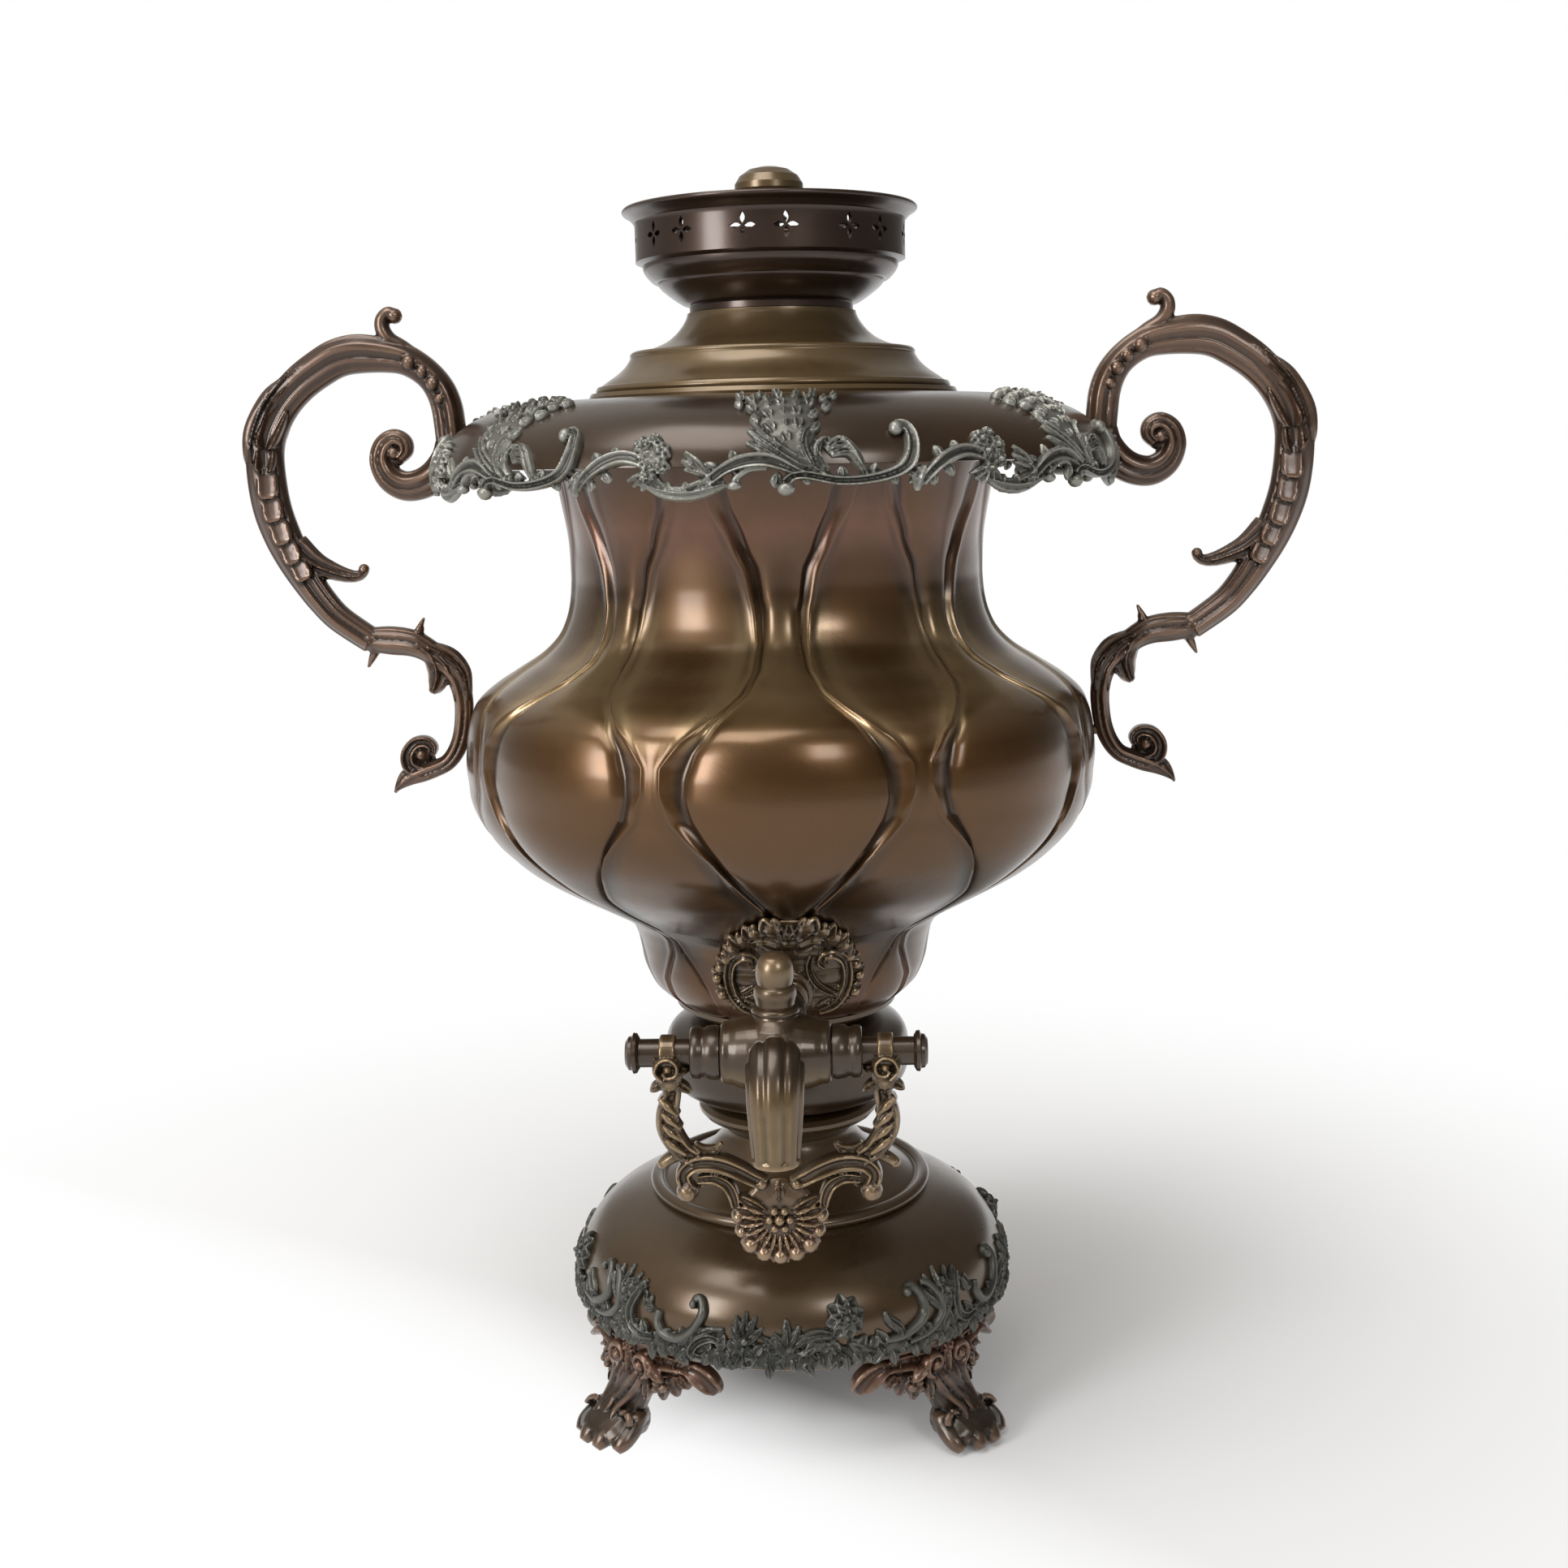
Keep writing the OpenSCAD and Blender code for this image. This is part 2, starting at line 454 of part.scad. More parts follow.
module handle() color(bronze) {
  t = handle_t / 13;
  difference() {
    union() {
      scroll(outs(arc_line), function (r) 6.4 * t);
      scroll(outs(brim_scroll), function (r) 4.8 * t);
      scroll(outs(lower_s), function (r) (2.6 + r * 0.62) * t);
      scroll(outs(foot_curl), function (r) (2 + r * 0.6) * t);
      scroll(outs(top_curl), function (r) (2 + r * 0.7) * t);
      scroll(outs(inner_leaf), function (r) (1 + r) * t);
      // thorns, leaf cup and scroll eyes
      for (p = [[150, 322, 149, 331], [170, 323, 171, 314], [138, 312, 146, 306],
            [166, 440, 172, 447]]) hull() {
        translate([out(p[0], p[1]), 0, p[1]]) sphere(3.8, $fn = 6);
        translate([out(p[2], p[3]), 0, p[3]]) sphere(2, $fn = 6);
      }
      for (p = [[156, 399, 5], [154, 273, 4.4], [156, 454, 3.8]]) hull()
        translate([out(p[0], p[1]), 0, p[1]]) rotate([90, 0, 0])
          cylinder(h = handle_t * 0.95, r = p[2], center = true, $fn = 8);
      // pads on the urn
      hull() translate([belly_r - 2.7, -5.5, handle_screw_z[0] - 9]) cube([8, 11, 18]);
      hull() translate([brim_r - 5.2, -5, handle_screw_z[1] - 7]) cube([6, 10, 14]);
    }
    // seats on the brim and the urn
    rotate_extrude($fn = 48) polygon(concat([[0, brim_top + 1]],
      [for (i = [10 : 4 : 18]) brim_curve(0)[i] + [0.7, 0.5]],
      [[brim_r + 0.7, brim_top - brim_drop + 3], [brim_r + 0.7, brim_top - brim_drop - 2.4],
        [0, brim_top - brim_drop - 2.4]]));
    rotate_extrude($fn = 48) polygon([[0, 262], [belly_r + 0.6, 262],
      [belly_r + 0.6, 284], [body_r(290) + 0.8, 291], [body_r(299) + 0.8, 300],
      [body_r(310) + 1, 311], [0, 311]]);
    for (i = [0, 1]) translate([screw_home[i] - 28, 0, handle_screw_z[i]])
      rotate([0, 90, 0]) cylinder(h = 41, r = screw_r + 0.1, $fn = 16);
  }
}
module handle_screws() color(brass) for (s = [0, 1]) mirror([s, 0, 0]) {
  screw_in(screw_home[0], handle_screw_z[0], 6.6);
  screw_in(screw_home[1], handle_screw_z[1], 4.2);
}
screw_home = [belly_r - 2.5, brim_r - 4];
// Cheese-head screw that points out along X through a wall at radius r
module screw_in(r, z, in) translate([r - in, 0, z]) rotate([0, 90, 0]) {
  cylinder(h = in + 9, r = screw_r);
  translate([0, 0, -2.4]) cylinder(h = 2.4, r = 3.8);
}

// ---------- tap ----------

// Frame whose Z runs along the shank, out from the axis, through the plug's centre
module shank_at() translate([0, -tap_y, tap_z]) rotate([90 + tap_tilt, 0, 0])
  translate([0, 0, -tap_y / cos(tap_tilt)]) children();
shank_len = tap_y / cos(tap_tilt);

plate_r = function (z) body_r(z) + 0.8;
// Half width of the cartouche in degrees, against height
plate_line = [[180, 14], [183.5, 23], [189, 28.5], [196, 29], [201.7, 25.4], [209, 19.7],
  [216.6, 14], [224.2, 8.4], [226.5, 5]];
module tap_plate() color(brass) difference() {
  union() {
    // field of the cartouche, laid on the urn
    skin([for (p = plate_line) concat(
        [for (u = [-1 : 0.34 : 1.03]) turn(u * p[1], plate_r(p[0]), p[0])],
        [for (u = [1 : -0.34 : -1.03]) turn(u * p[1], plate_r(p[0]) + 2.4, p[0])])]);
    // side scrolls
    for (s = [-1, 1]) {
      relief([[s * 6, 183, 2.2], [s * 18, 183.4, 2.6], [s * 26, 190, 3],
        [s * 25, 201, 3], [s * 17, 208, 2.8], [s * 11, 203, 2.4]], plate_r, 5, sides = 4);
      for (p = [[28.6, 187], [29.6, 195], [25.6, 203], [13.8, 216]]) hull()
        translate(turn(s * p[0], plate_r(p[1]) + 2.2, p[1])) sphere(3, $fn = 5);
    }
    hull() translate(turn(0, plate_r(224) + 2, 225)) sphere(4.4, $fn = 6);
    // round boss for the shank's flange
    shank_at() translate([0, 0, 58]) cylinder(h = shank_len - 58 - 36, r = 10.8, $fn = 24);
  }
  shank_at() translate([0, 0, 20]) cylinder(h = 80, r = 6.4, $fn = 24);
  // seated on the urn
  rotate_extrude($fn = 60) polygon(concat([[0, 172]], [for (z = [172, 175, 180, 187.5, 194.6,
      201.7, 209, 216.6, 224.2, 231.7]) [body_r(z) + 0.45, z]], [[0, 231.7]]));
}

boss_h = 15.4;                    // top of the finial's boss above the plug's axis
spout_y = 20;                     // the outlet stands this far in front of the plug
bend = 17;                        // radius of the spout's bend
outlet_z = 143.4;
module tap_body() color(brass) difference() {
  union() {
    // threaded shank and its flange
    shank_at() translate([0, 0, 42.6]) cylinder(h = shank_len - 42.6, r = 6);
    shank_at() translate([0, 0, shank_len - 35.8]) cylinder(h = 4.6, r = 10.4);
    shank_at() translate([0, 0, shank_len - 32]) cylinder(h = 26, r1 = 8.6, r2 = 10.5);
    // barrel, turned about X
    translate([0, -tap_y, tap_z]) rotate([0, 90, 0]) rotate_extrude() polygon([[0, -20.4],
      [13.4, -20.4], [13.6, -17.6], [11.6, -17], [12.2, -12], [14, -6], [14.6, 0], [14, 6],
      [12.2, 12], [11.6, 17], [13.6, 17.6], [13.4, 20.4], [0, 20.4]]);
    // boss under the finial
    translate([0, -tap_y, tap_z]) cylinder(h = boss_h, r1 = 11, r2 = 8);
    // bent spout
    translate([0, -tap_y - spout_y + bend, tap_z + 1 - bend]) rotate([90, 0, -90])
      rotate_extrude(angle = 90) translate([bend, 0]) circle(r = 9.3);
    translate([0, -tap_y - spout_y, outlet_z]) {
      cylinder(h = tap_z + 1 - bend - outlet_z, r1 = 8.6, r2 = 9.3);
      // flutes of the spout
      for (a = [15 : 30 : 345]) rotate([0, 0, a]) translate([8.3, 0, 0])
        cylinder(h = tap_z - 2 - bend - outlet_z, r = 1.25);
      cylinder(h = 2, r = 9.4);
    }
  }
  // bore for the plug
  translate([-30, -tap_y, tap_z]) rotate([0, 90, 0]) cylinder(h = 60, r = plug_r);
  // water way
  shank_at() translate([0, 0, 36]) cylinder(h = shank_len - 36, r = 4);
  translate([0, -tap_y - spout_y + bend, tap_z + 1 - bend]) rotate([90, 0, -90])
    rotate_extrude(angle = 90) translate([bend, 0]) circle(d = spout_bore - 2);
  translate([0, -tap_y - spout_y, outlet_z - 1])
    cylinder(h = tap_z + 2 - bend - outlet_z, d = spout_bore - 2);
  translate([0, -tap_y - spout_y, outlet_z - 1]) cylinder(h = 13, d = spout_bore);
}

module tap_finial() color(brass) translate([0, -tap_y, tap_z + boss_h + seat])
  turned([[0, 0], [7.2, 0], [7.6, 1.4], [7.2, 3], [5.6, 3.6], [5.2, 5.2], [6, 6.4],
    [6.3, 8.2], [5.8, 10], [4.4, 11.2], [4.6, 12.2], [5.6, 13.4], [5.9, 15.4], [5.7, 18],
    [4.9, 20.6], [3.2, 22.4], [1.4, 23.2], [0, 23.4]]);

module along_x() translate([0, -tap_y, tap_z]) rotate([0, 90, 0]) children();
collar_half = 20.8;
module tap_plug() color(brass) difference() {
  along_x() turned([[0, -bar_half + 5.4], [bar_r, -bar_half + 5.4], [bar_r, -collar_half],
    [plug_r - run, -collar_half], [plug_r - run, collar_half], [bar_r, collar_half],
    [bar_r, bar_half - 5.4], [0, bar_half - 5.4]]);
  // closed at rest: the water way stands upright
  translate([0, -tap_y, tap_z - 20]) cylinder(h = 40, r = 3.8);
}
module plug_collars() color(brass) for (s = [0, 1]) mirror([s, 0, 0])
  along_x() turned([[bar_r + 0.1, collar_half + 0.1], [10.4, collar_half + 0.1],
    [10.9, 22], [10.9, 24], [10.2, 24.8], [10.2, 29.2], [10.8, 30], [10.4, 31],
    [bar_r + 0.1, 31]]);
module plug_ends() color(brass) for (s = [0, 1]) mirror([s, 0, 0])
  along_x() turned([[0, bar_half - 5.3], [5.8, bar_half - 5.3], [7.4, bar_half - 4.4],
    [7.6, bar_half - 3.2], [6.4, bar_half - 2.6], [6.2, bar_half - 1.4],
    [4.6, bar_half - 0.3], [0, bar_half]]);

// Hanging rocaille handle of the tap, [out, height, half width]
bail_arm = [[40.4, 172.6, 4.4], [40.6, 166, 4], [38, 159, 3.4], [37.2, 151, 3.4],
  [37.6, 143.6, 3.8], [33.4, 136, 4.2], [27, 131.4, 3.6]];
bail_c = [[37.4, 127, 2.6], [34.8, 131.6, 2.8], [29, 133, 3], [21, 130.6, 3.1],
  [13, 127.2, 3.1], [5, 126.6, 3.2], [-1, 126.6, 3.2]];
bail_inner = [[30, 133, 2.4], [25, 126.4, 2.2], [20.6, 122.6, 2], [17.6, 125, 1.8]];
shell_c = 114.4;
module tap_bail() color(brass) translate([0, -tap_y, 0]) difference() {
  union() {
    for (s = [0, 1]) mirror([s, 0, 0]) {
      scroll(bail_arm, function (r) r * 1.05);
      scroll(bail_c, function (r) r * 1.1);
      scroll(bail_inner, function (r) r * 1.1);
      for (p = [[38.2, 126.4, 3.4], [18.4, 126, 2.6]]) hull()
        translate([p[0], 0, p[1]]) sphere(p[2], $fn = 6);
      // thorns
      for (p = [[40, 165, 45.4, 161.6], [37.4, 150, 42, 153.4], [38, 143, 43, 138.6],
            [33, 137, 30.6, 142.6], [40, 167, 34.6, 163]]) hull() {
        translate([p[0], 0, p[1]]) sphere(3.2, $fn = 5);
        translate([p[2], 0, p[3]]) sphere(1.5, $fn = 5);
      }
      // eye round the bar
      translate([35.8, 0, tap_z]) rotate([0, 90, 0]) cylinder(h = 8.6, r = 8, $fn = 20);
    }
    // ribbed shell
    hull() skin([for (t = [-1, 1]) [for (a = [0 : 15 : 345]) let (r = 16.4
        + (a % 30 == 0 ? 0.9 : 0)) [r * sin(a) * 0.94, t * 2, shell_c + r * cos(a) * 0.94]]]);
    for (row = [[12.6, 8, 250, 2.9], [6.8, 5, 230, 2.7], [0, 1, 0, 3.4]])
      for (i = [0 : row[1] - 1]) let (a = row[1] > 1
          ? row[2] * (i / (row[1] - 1) - 0.5) : 0) translate([row[0] * sin(a), -1.6,
        shell_c - row[0] * cos(a)]) rotate([90, 0, 0]) cylinder(h = 2.8, r1 = row[3],
          r2 = row[3] * 0.5, $fn = 5);
  }
  // bore for the bar
  translate([-60, 0, tap_z]) rotate([0, 90, 0]) cylinder(h = 120, r = bar_r + 0.15, $fn = 30);
}

module shank_nut() color(brass) shank_at() difference() {
  translate([0, 0, 42.8]) cylinder(h = 4.6, r = 9.6, $fn = 6);
  translate([0, 0, 36]) cylinder(h = 20, r = 6.1);
}
module shank_washer() color(copper) shank_at() difference() {
  translate([0, 0, 47.6]) cylinder(h = 1.4, r = 10);
  translate([0, 0, 36]) cylinder(h = 20, r = 6.2);
}

foot_at(-45);  // foot_front_right
foot_at(-135);  // foot_front_left
foot_at(135);  // foot_back_left
foot_at(45);  // foot_back_right
foot_screws();
base_ring();
base_dome();
base_apron();
neck_ring();
air_collar();
collar_ring();
grate();
body_floor();
body_shell();
fire_tube();
brim();
brim_border();
seat_ring();
lid();
crown();
cap();
cap_knob();
cap_screw();
handle();  // handle_right
mirror([1, 0, 0]) handle();  // handle_left
handle_screws();
tap_plate();
tap_body();
tap_finial();
tap_plug();
plug_collars();
plug_ends();
tap_bail();
shank_nut();
shank_washer();
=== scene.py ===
"""Charcoal samovar: the visual pieces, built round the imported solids."""

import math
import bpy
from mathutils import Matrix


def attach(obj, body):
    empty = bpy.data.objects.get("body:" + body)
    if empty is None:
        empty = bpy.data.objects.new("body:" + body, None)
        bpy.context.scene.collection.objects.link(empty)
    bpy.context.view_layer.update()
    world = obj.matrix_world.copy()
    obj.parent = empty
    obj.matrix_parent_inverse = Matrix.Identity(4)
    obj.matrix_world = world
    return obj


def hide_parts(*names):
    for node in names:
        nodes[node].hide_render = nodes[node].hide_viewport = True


bl_info = {
    "name": "Samovar",
    "version": (1, 0, 0),
    "blender": (4, 5, 0),
    "location": "View3D > Sidebar > Samovar",
    "description": "Lobed charcoal samovar with cast borders, scroll handles and a turning tap",
    "category": "Add Mesh",
}

import bpy
import numpy as np
from bpy.props import FloatProperty, FloatVectorProperty, IntProperty, PointerProperty
from mathutils import Matrix, Vector

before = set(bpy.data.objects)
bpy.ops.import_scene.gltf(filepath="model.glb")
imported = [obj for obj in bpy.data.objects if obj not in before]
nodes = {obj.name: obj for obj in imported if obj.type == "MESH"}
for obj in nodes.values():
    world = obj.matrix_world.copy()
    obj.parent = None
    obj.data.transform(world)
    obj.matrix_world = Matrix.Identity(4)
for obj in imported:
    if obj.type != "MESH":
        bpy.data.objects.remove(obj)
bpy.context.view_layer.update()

MM = 0.001
# degrees in a radian, to turn degrees round the axis into millimetres on a radius
DEG = 57.3


# ---------- numbers and curves ----------


def srgb(r, g, b):
    """A colour given in 0 to 255 as linear values."""
    return tuple(((c / 255 + 0.055) / 1.055) ** 2.4 if c > 10 else c / 3295 for c in (r, g, b))


def extent(name, axis):
    """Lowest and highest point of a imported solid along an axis, in metres."""
    values = [v.co[axis] for v in nodes[name].data.vertices]
    return min(values), max(values)


def smooth(rows, k):
    """A smooth run through rows of numbers, k steps between each two."""
    p = np.array(rows, float)
    out = []
    for i in range(len(p) - 1):
        a, b, c, d = p[max(i - 1, 0)], p[i], p[i + 1], p[min(i + 2, len(p) - 1)]
        for j in range(k):
            t = j / k
            out.append(0.5 * (2 * b + (c - a) * t + (2 * a - 5 * b + 4 * c - d) * t * t
                              + (3 * b - a - 3 * c + d) * t ** 3))
    return np.array(out + [p[-1]])


def along(table, v):
    """Reads a table of (key, value) rows at v."""
    t = np.array(table, float)
    return np.interp(v, t[:, 0], t[:, 1])


def spiral(x, y, r0, r1, start, sweep, w0, w1, rise, n=12):
    """Rows of a volute round x, y. Angles in degrees."""
    rows = []
    for i in range(n + 1):
        t = i / n
        a, r = math.radians(start + sweep * t), r0 + (r1 - r0) * t
        rows.append((x + r * math.cos(a), y + r * math.sin(a), w0 + (w1 - w0) * t, rise))
    return rows


def mirrored(rows):
    """The same rows on the other side of the upright plane."""
    return [(-r[0], *r[1:]) for r in rows]


# ---------- mesh tools ----------


def angles(n):
    """n angles once round."""
    return [2 * math.pi * i / n for i in range(n)]


def deselect():
    if bpy.context.mode != "OBJECT":
        bpy.ops.object.mode_set(mode="OBJECT")
    bpy.ops.object.select_all(action="DESELECT")


def activate(obj):
    deselect()
    obj.select_set(True)
    bpy.context.view_layer.objects.active = obj


def from_lists(name, verts, faces):
    """An object from vertices in millimetres and faces."""
    mesh = bpy.data.meshes.new(name)
    mesh.from_pydata([tuple(float(c) * MM for c in v) for v in verts], [], faces)
    mesh.update()
    obj = bpy.data.objects.new(name, mesh)
    bpy.context.scene.collection.objects.link(obj)
    return obj


def turned(name, outline, steps=128):
    """A closed outline of (radius, height) in millimetres, spun round the axis."""
    deselect()
    bpy.ops.mesh.primitive_circle_add(vertices=3, radius=0.001)
    obj = bpy.context.active_object
    obj.name = obj.data.name = name
    bpy.ops.object.mode_set(mode="EDIT")
    bpy.ops.mesh.select_all(action="SELECT")
    bpy.ops.mesh.merge(type="CENTER")
    here = Vector((outline[0][0] * MM, 0, outline[0][1] * MM))
    bpy.ops.transform.translate(value=here)
    for r, z in outline[1:]:
        there = Vector((r * MM, 0, z * MM))
        bpy.ops.mesh.extrude_region_move(TRANSFORM_OT_translate={"value": there - here})
        here = there
    bpy.ops.mesh.select_all(action="SELECT")
    bpy.ops.mesh.remove_doubles(threshold=1e-6)
    bpy.ops.mesh.spin(steps=steps, angle=2 * math.pi, center=(0, 0, 0), axis=(0, 0, 1))
    bpy.ops.mesh.select_all(action="SELECT")
    bpy.ops.mesh.remove_doubles(threshold=1e-6)
    bpy.ops.mesh.normals_make_consistent(inside=False)
    bpy.ops.object.mode_set(mode="OBJECT")
    return obj


def coords(obj):
    """The places of a mesh's points, in metres."""
    co = np.empty(len(obj.data.vertices) * 3, np.float32)
    obj.data.vertices.foreach_get("co", co)
    return co.reshape(-1, 3).astype(float)


def set_coords(obj, co):
    obj.data.vertices.foreach_set("co", co.astype(np.float32).ravel())
    obj.data.update()


def mark_wear(obj, size=1.2, rounds=6):
    """Stores how far each point stands out of its surroundings, -1 in a recess to 1 on a ridge."""
    mesh = obj.data
    co = coords(obj)
    ed = np.empty(len(mesh.edges) * 2, np.int32)
    mesh.edges.foreach_get("vertices", ed)
    a, b = ed.reshape(-1, 2).T
    count = np.bincount(a, minlength=len(co)) + np.bincount(b, minlength=len(co))

    def average(v):
        out = np.empty_like(v)
        for i in range(v.shape[1]):
            out[:, i] = (np.bincount(a, v[b, i], len(co)) + np.bincount(b, v[a, i], len(co)))
        return out / np.maximum(count, 1)[:, None]

    soft = co
    for _ in range(rounds):
        soft = average(soft)
    nor = np.empty(len(co) * 3, np.float32)
    mesh.vertices.foreach_get("normal", nor)
    lift = ((co - soft) * nor.reshape(-1, 3)).sum(1)[:, None]
    lift = average(lift)[:, 0] / (size * MM * 0.2)
    at = mesh.attributes.new("ridge", "FLOAT", "POINT")
    at.data.foreach_set("value", np.clip(lift, -1, 1).astype(np.float32))


def smooth_shade(obj, angle=40):
    activate(obj)
    bpy.ops.object.shade_smooth_by_angle(angle=math.radians(angle))


def finish_piece(obj, body, finish, replaces=(), wear=True, angle=40):
    """Gives a new piece its finish and says what it rides on and stands for."""
    if wear:
        mark_wear(obj)
    smooth_shade(obj, angle)
    obj.data.materials.clear()
    obj.data.materials.append(metal(finish))
    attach(obj, body)
    if replaces:
        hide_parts(*replaces)


# ---------- cast ornament ----------

# cross-sections of the ornament: places across it and out of the surface, for a half width and a
# rise of 1
HALF = [(math.cos(a), math.sin(a)) for a in (math.pi * i / 8 for i in range(9))]
ROUND = HALF + [(-0.6, -0.45), (0.6, -0.45)]
REED = [(1, 0), (0.94, 0.62), (0.74, 0.95), (0.5, 0.86), (0.22, 0.5), (-0.22, 0.5), (-0.5, 0.86),
        (-0.74, 0.95), (-0.94, 0.62), (-1, 0), (-0.6, -0.45), (0.6, -0.45)]
BLADE = [(1, 0), (0.7, 0.62), (0.3, 0.55), (0, 1), (-0.3, 0.55), (-0.7, 0.62), (-1, 0),
         (-0.5, -0.45), (0.5, -0.45)]
PLATE = [(1, 0), (0.97, 0.8), (0.85, 0.97), (0.3, 0.93), (-0.3, 0.93), (-0.85, 0.97), (-0.97, 0.8),
         (-1, 0), (-0.5, -0.45), (0.5, -0.45)]
CUPPED = [(1, 0), (0.95, 0.8), (0.72, 1), (0.35, 0.66), (0, 0.52), (-0.35, 0.66), (-0.72, 1),
          (-0.95, 0.8), (-1, 0), (-0.5, -0.45), (0.5, -0.45)]
RIB = [(1, 0.2), (0.93, 0.5), (0.8, 0.56), (0.7, 0.7), (0.5, 0.97), (0.22, 1.05), (-0.04, 0.82),
       (-0.16, 0.72), (-0.36, 0.84), (-0.56, 0.72), (-0.66, 0.6), (-0.8, 0.62), (-0.93, 0.42),
       (-1, 0.15)]


def both(section):
    """The upper half of a section repeated below, for a casting seen from both faces."""
    top = [p for p in section if p[1] > -1e-6]
    return top + [(s, -t) for s, t in reversed(top) if t > 1e-6]


class Casting:
    """Closed shapes laid over each other on a surface, then fused into one casting.
    place(x, y, h) maps a point on the surface, h above it, to millimetres in space."""

    def __init__(self, place):
        self.place = place
        self.verts, self.faces = [], []

    def skin(self, rings):
        """Rings of points in space, capped at both ends."""
        base, m, n = len(self.verts), len(rings), len(rings[0])
        for ring in rings:
            self.verts.extend(ring)
        for j in range(m - 1):
            for i in range(n):
                p, q = base + j * n + i, base + j * n + (i + 1) % n
                self.faces.append((p, q, q + n, p + n))
        self.faces.append(tuple(base + i for i in reversed(range(n))))
        self.faces.append(tuple(base + (m - 1) * n + i for i in range(n)))

    def add(self, other):
        """Takes in the shapes of another casting."""
        base = len(self.verts)
        self.verts.extend(other.verts)
        self.faces.extend(tuple(base + i for i in f) for f in other.faces)

    def sweep(self, path, section=ROUND, k=5):
        """path rows are x, y, half width, rise and, if given, height of the underside."""
        rows = [tuple(r) + (0,) * (5 - len(r)) for r in path]
        p = smooth(rows, k)
        d = np.gradient(p[:, :2], axis=0)
        d /= np.maximum(np.hypot(d[:, 0], d[:, 1]), 1e-9)[:, None]
        rings = []
        for (x, y, w, rise, base), (dx, dy) in zip(p, d):
            rings.append([self.place(x - dy * w * s, y + dx * w * s, base + rise * t)
                          for s, t in section])
        self.skin(rings)

    def limb(self, rows, shape=None, n=14, k=5):
        """A rounded bar through points in space, in a plane across X. Rows are x, y, z, half
        width along X and half height; shape(angle) scales the outline."""
        p = smooth(rows, k)
        d = np.gradient(p[:, :3], axis=0)
        d /= np.linalg.norm(d, axis=1)[:, None]
        rings = []
        for (x, y, z, w, h), ahead in zip(p, d):
            side = np.array([1.0, 0, 0]) - ahead[0] * ahead
            side /= np.linalg.norm(side)
            up = np.cross(ahead, side)
            ring = []
            for a in angles(n):
                f = shape(a) if shape else 1
                ring.append(tuple(np.array([x, y, z]) + f * (side * w * math.cos(a)
                                                            + up * h * math.sin(a))))
            rings.append(ring)
        self.skin(rings)

    def ball(self, x, y, r, h=0.0, rise=None, n=10):
        """A boss of radius r whose middle is h above the surface."""
        rise = r if rise is None else rise
        rings = []
        for i in range(7):
            a = math.pi * (i + 0.35) / 6.7
            rings.append([self.place(x + r * math.sin(a) * math.cos(b),
                                     y + r * math.sin(a) * math.sin(b), h - rise * math.cos(a))
                          for b in angles(n)])
        self.skin(rings)

    def drop(self, x, y, angle, length, w, rise, base=0.0, section=BLADE):
        """One pointed leaflet from x, y towards angle in degrees."""
        c, s = math.cos(math.radians(angle)), math.sin(math.radians(angle))
        shape = [(0, 0.35, 0.6), (0.25, 0.85, 1), (0.5, 1, 1), (0.78, 0.72, 0.8), (1, 0.18, 0.35)]
        self.sweep([(x + c * length * t, y + s * length * t, w * a, rise * b, base)
                    for t, a, b in shape], section, 2)

    def flower(self, x, y, r, petals, rise, turn=0.0):
        """A rosette of cupped petals round a boss."""
        for i in range(petals):
            a = turn + 360 * i / petals
            self.drop(x, y, a, r, r * 3.1 / petals, rise * 0.85, 0, CUPPED)
        self.ball(x, y, r * 0.3, rise * 0.55, rise * 0.6, 8)

    def cast(self, name, voxel=0.5, soften=1, floor=None):
        """Fuses the shapes into one skin, flattened where it would go under the floor."""
        obj = from_lists(name, self.verts, self.faces)
        activate(obj)
        obj.data.remesh_voxel_size = voxel * MM
        obj.data.remesh_voxel_adaptivity = 0
        bpy.ops.object.voxel_remesh()
        if soften:
            m = obj.modifiers.new("soften", "SMOOTH")
            m.factor, m.iterations = 0.5, soften
            bpy.ops.object.modifier_apply(modifier="soften")
        if floor is not None:
            co = coords(obj)
            co[:, 2] = np.maximum(co[:, 2], floor * MM)
            set_coords(obj, co)
        return obj


def copied(obj, name, turn=0.0, flip=False):
    """A copy with its own mesh, turned about the upright axis or mirrored across it."""
    other = obj.copy()
    other.data = obj.data.copy()
    other.name = other.data.name = name
    bpy.context.scene.collection.objects.link(other)
    if flip:
        other.data.transform(Matrix.Scale(-1, 4, (1, 0, 0)))
        other.data.flip_normals()
    other.data.transform(Matrix.Rotation(math.radians(turn), 4, "Z"))
    return other


def cut(obj, cutter):
    """Takes the cutter away from a piece."""
    activate(obj)
    m = obj.modifiers.new("cut", "BOOLEAN")
    m.operation, m.object, m.solver = "DIFFERENCE", cutter, "EXACT"
    bpy.ops.object.modifier_apply(modifier="cut")
    bpy.data.objects.remove(cutter)


def bored(obj, start, ahead, radius, length):
    """Drills a round hole from start along ahead. Millimetres."""
    deselect()
    way = Vector(ahead).normalized()
    middle = (Vector(start) + way * length / 2) * MM
    bpy.ops.mesh.primitive_cylinder_add(vertices=48, radius=radius * MM, depth=length * MM,
                                        location=middle)
    drill = bpy.context.active_object
    drill.rotation_mode = "QUATERNION"
    drill.rotation_quaternion = way.to_track_quat("Z", "Y")
    cut(obj, drill)


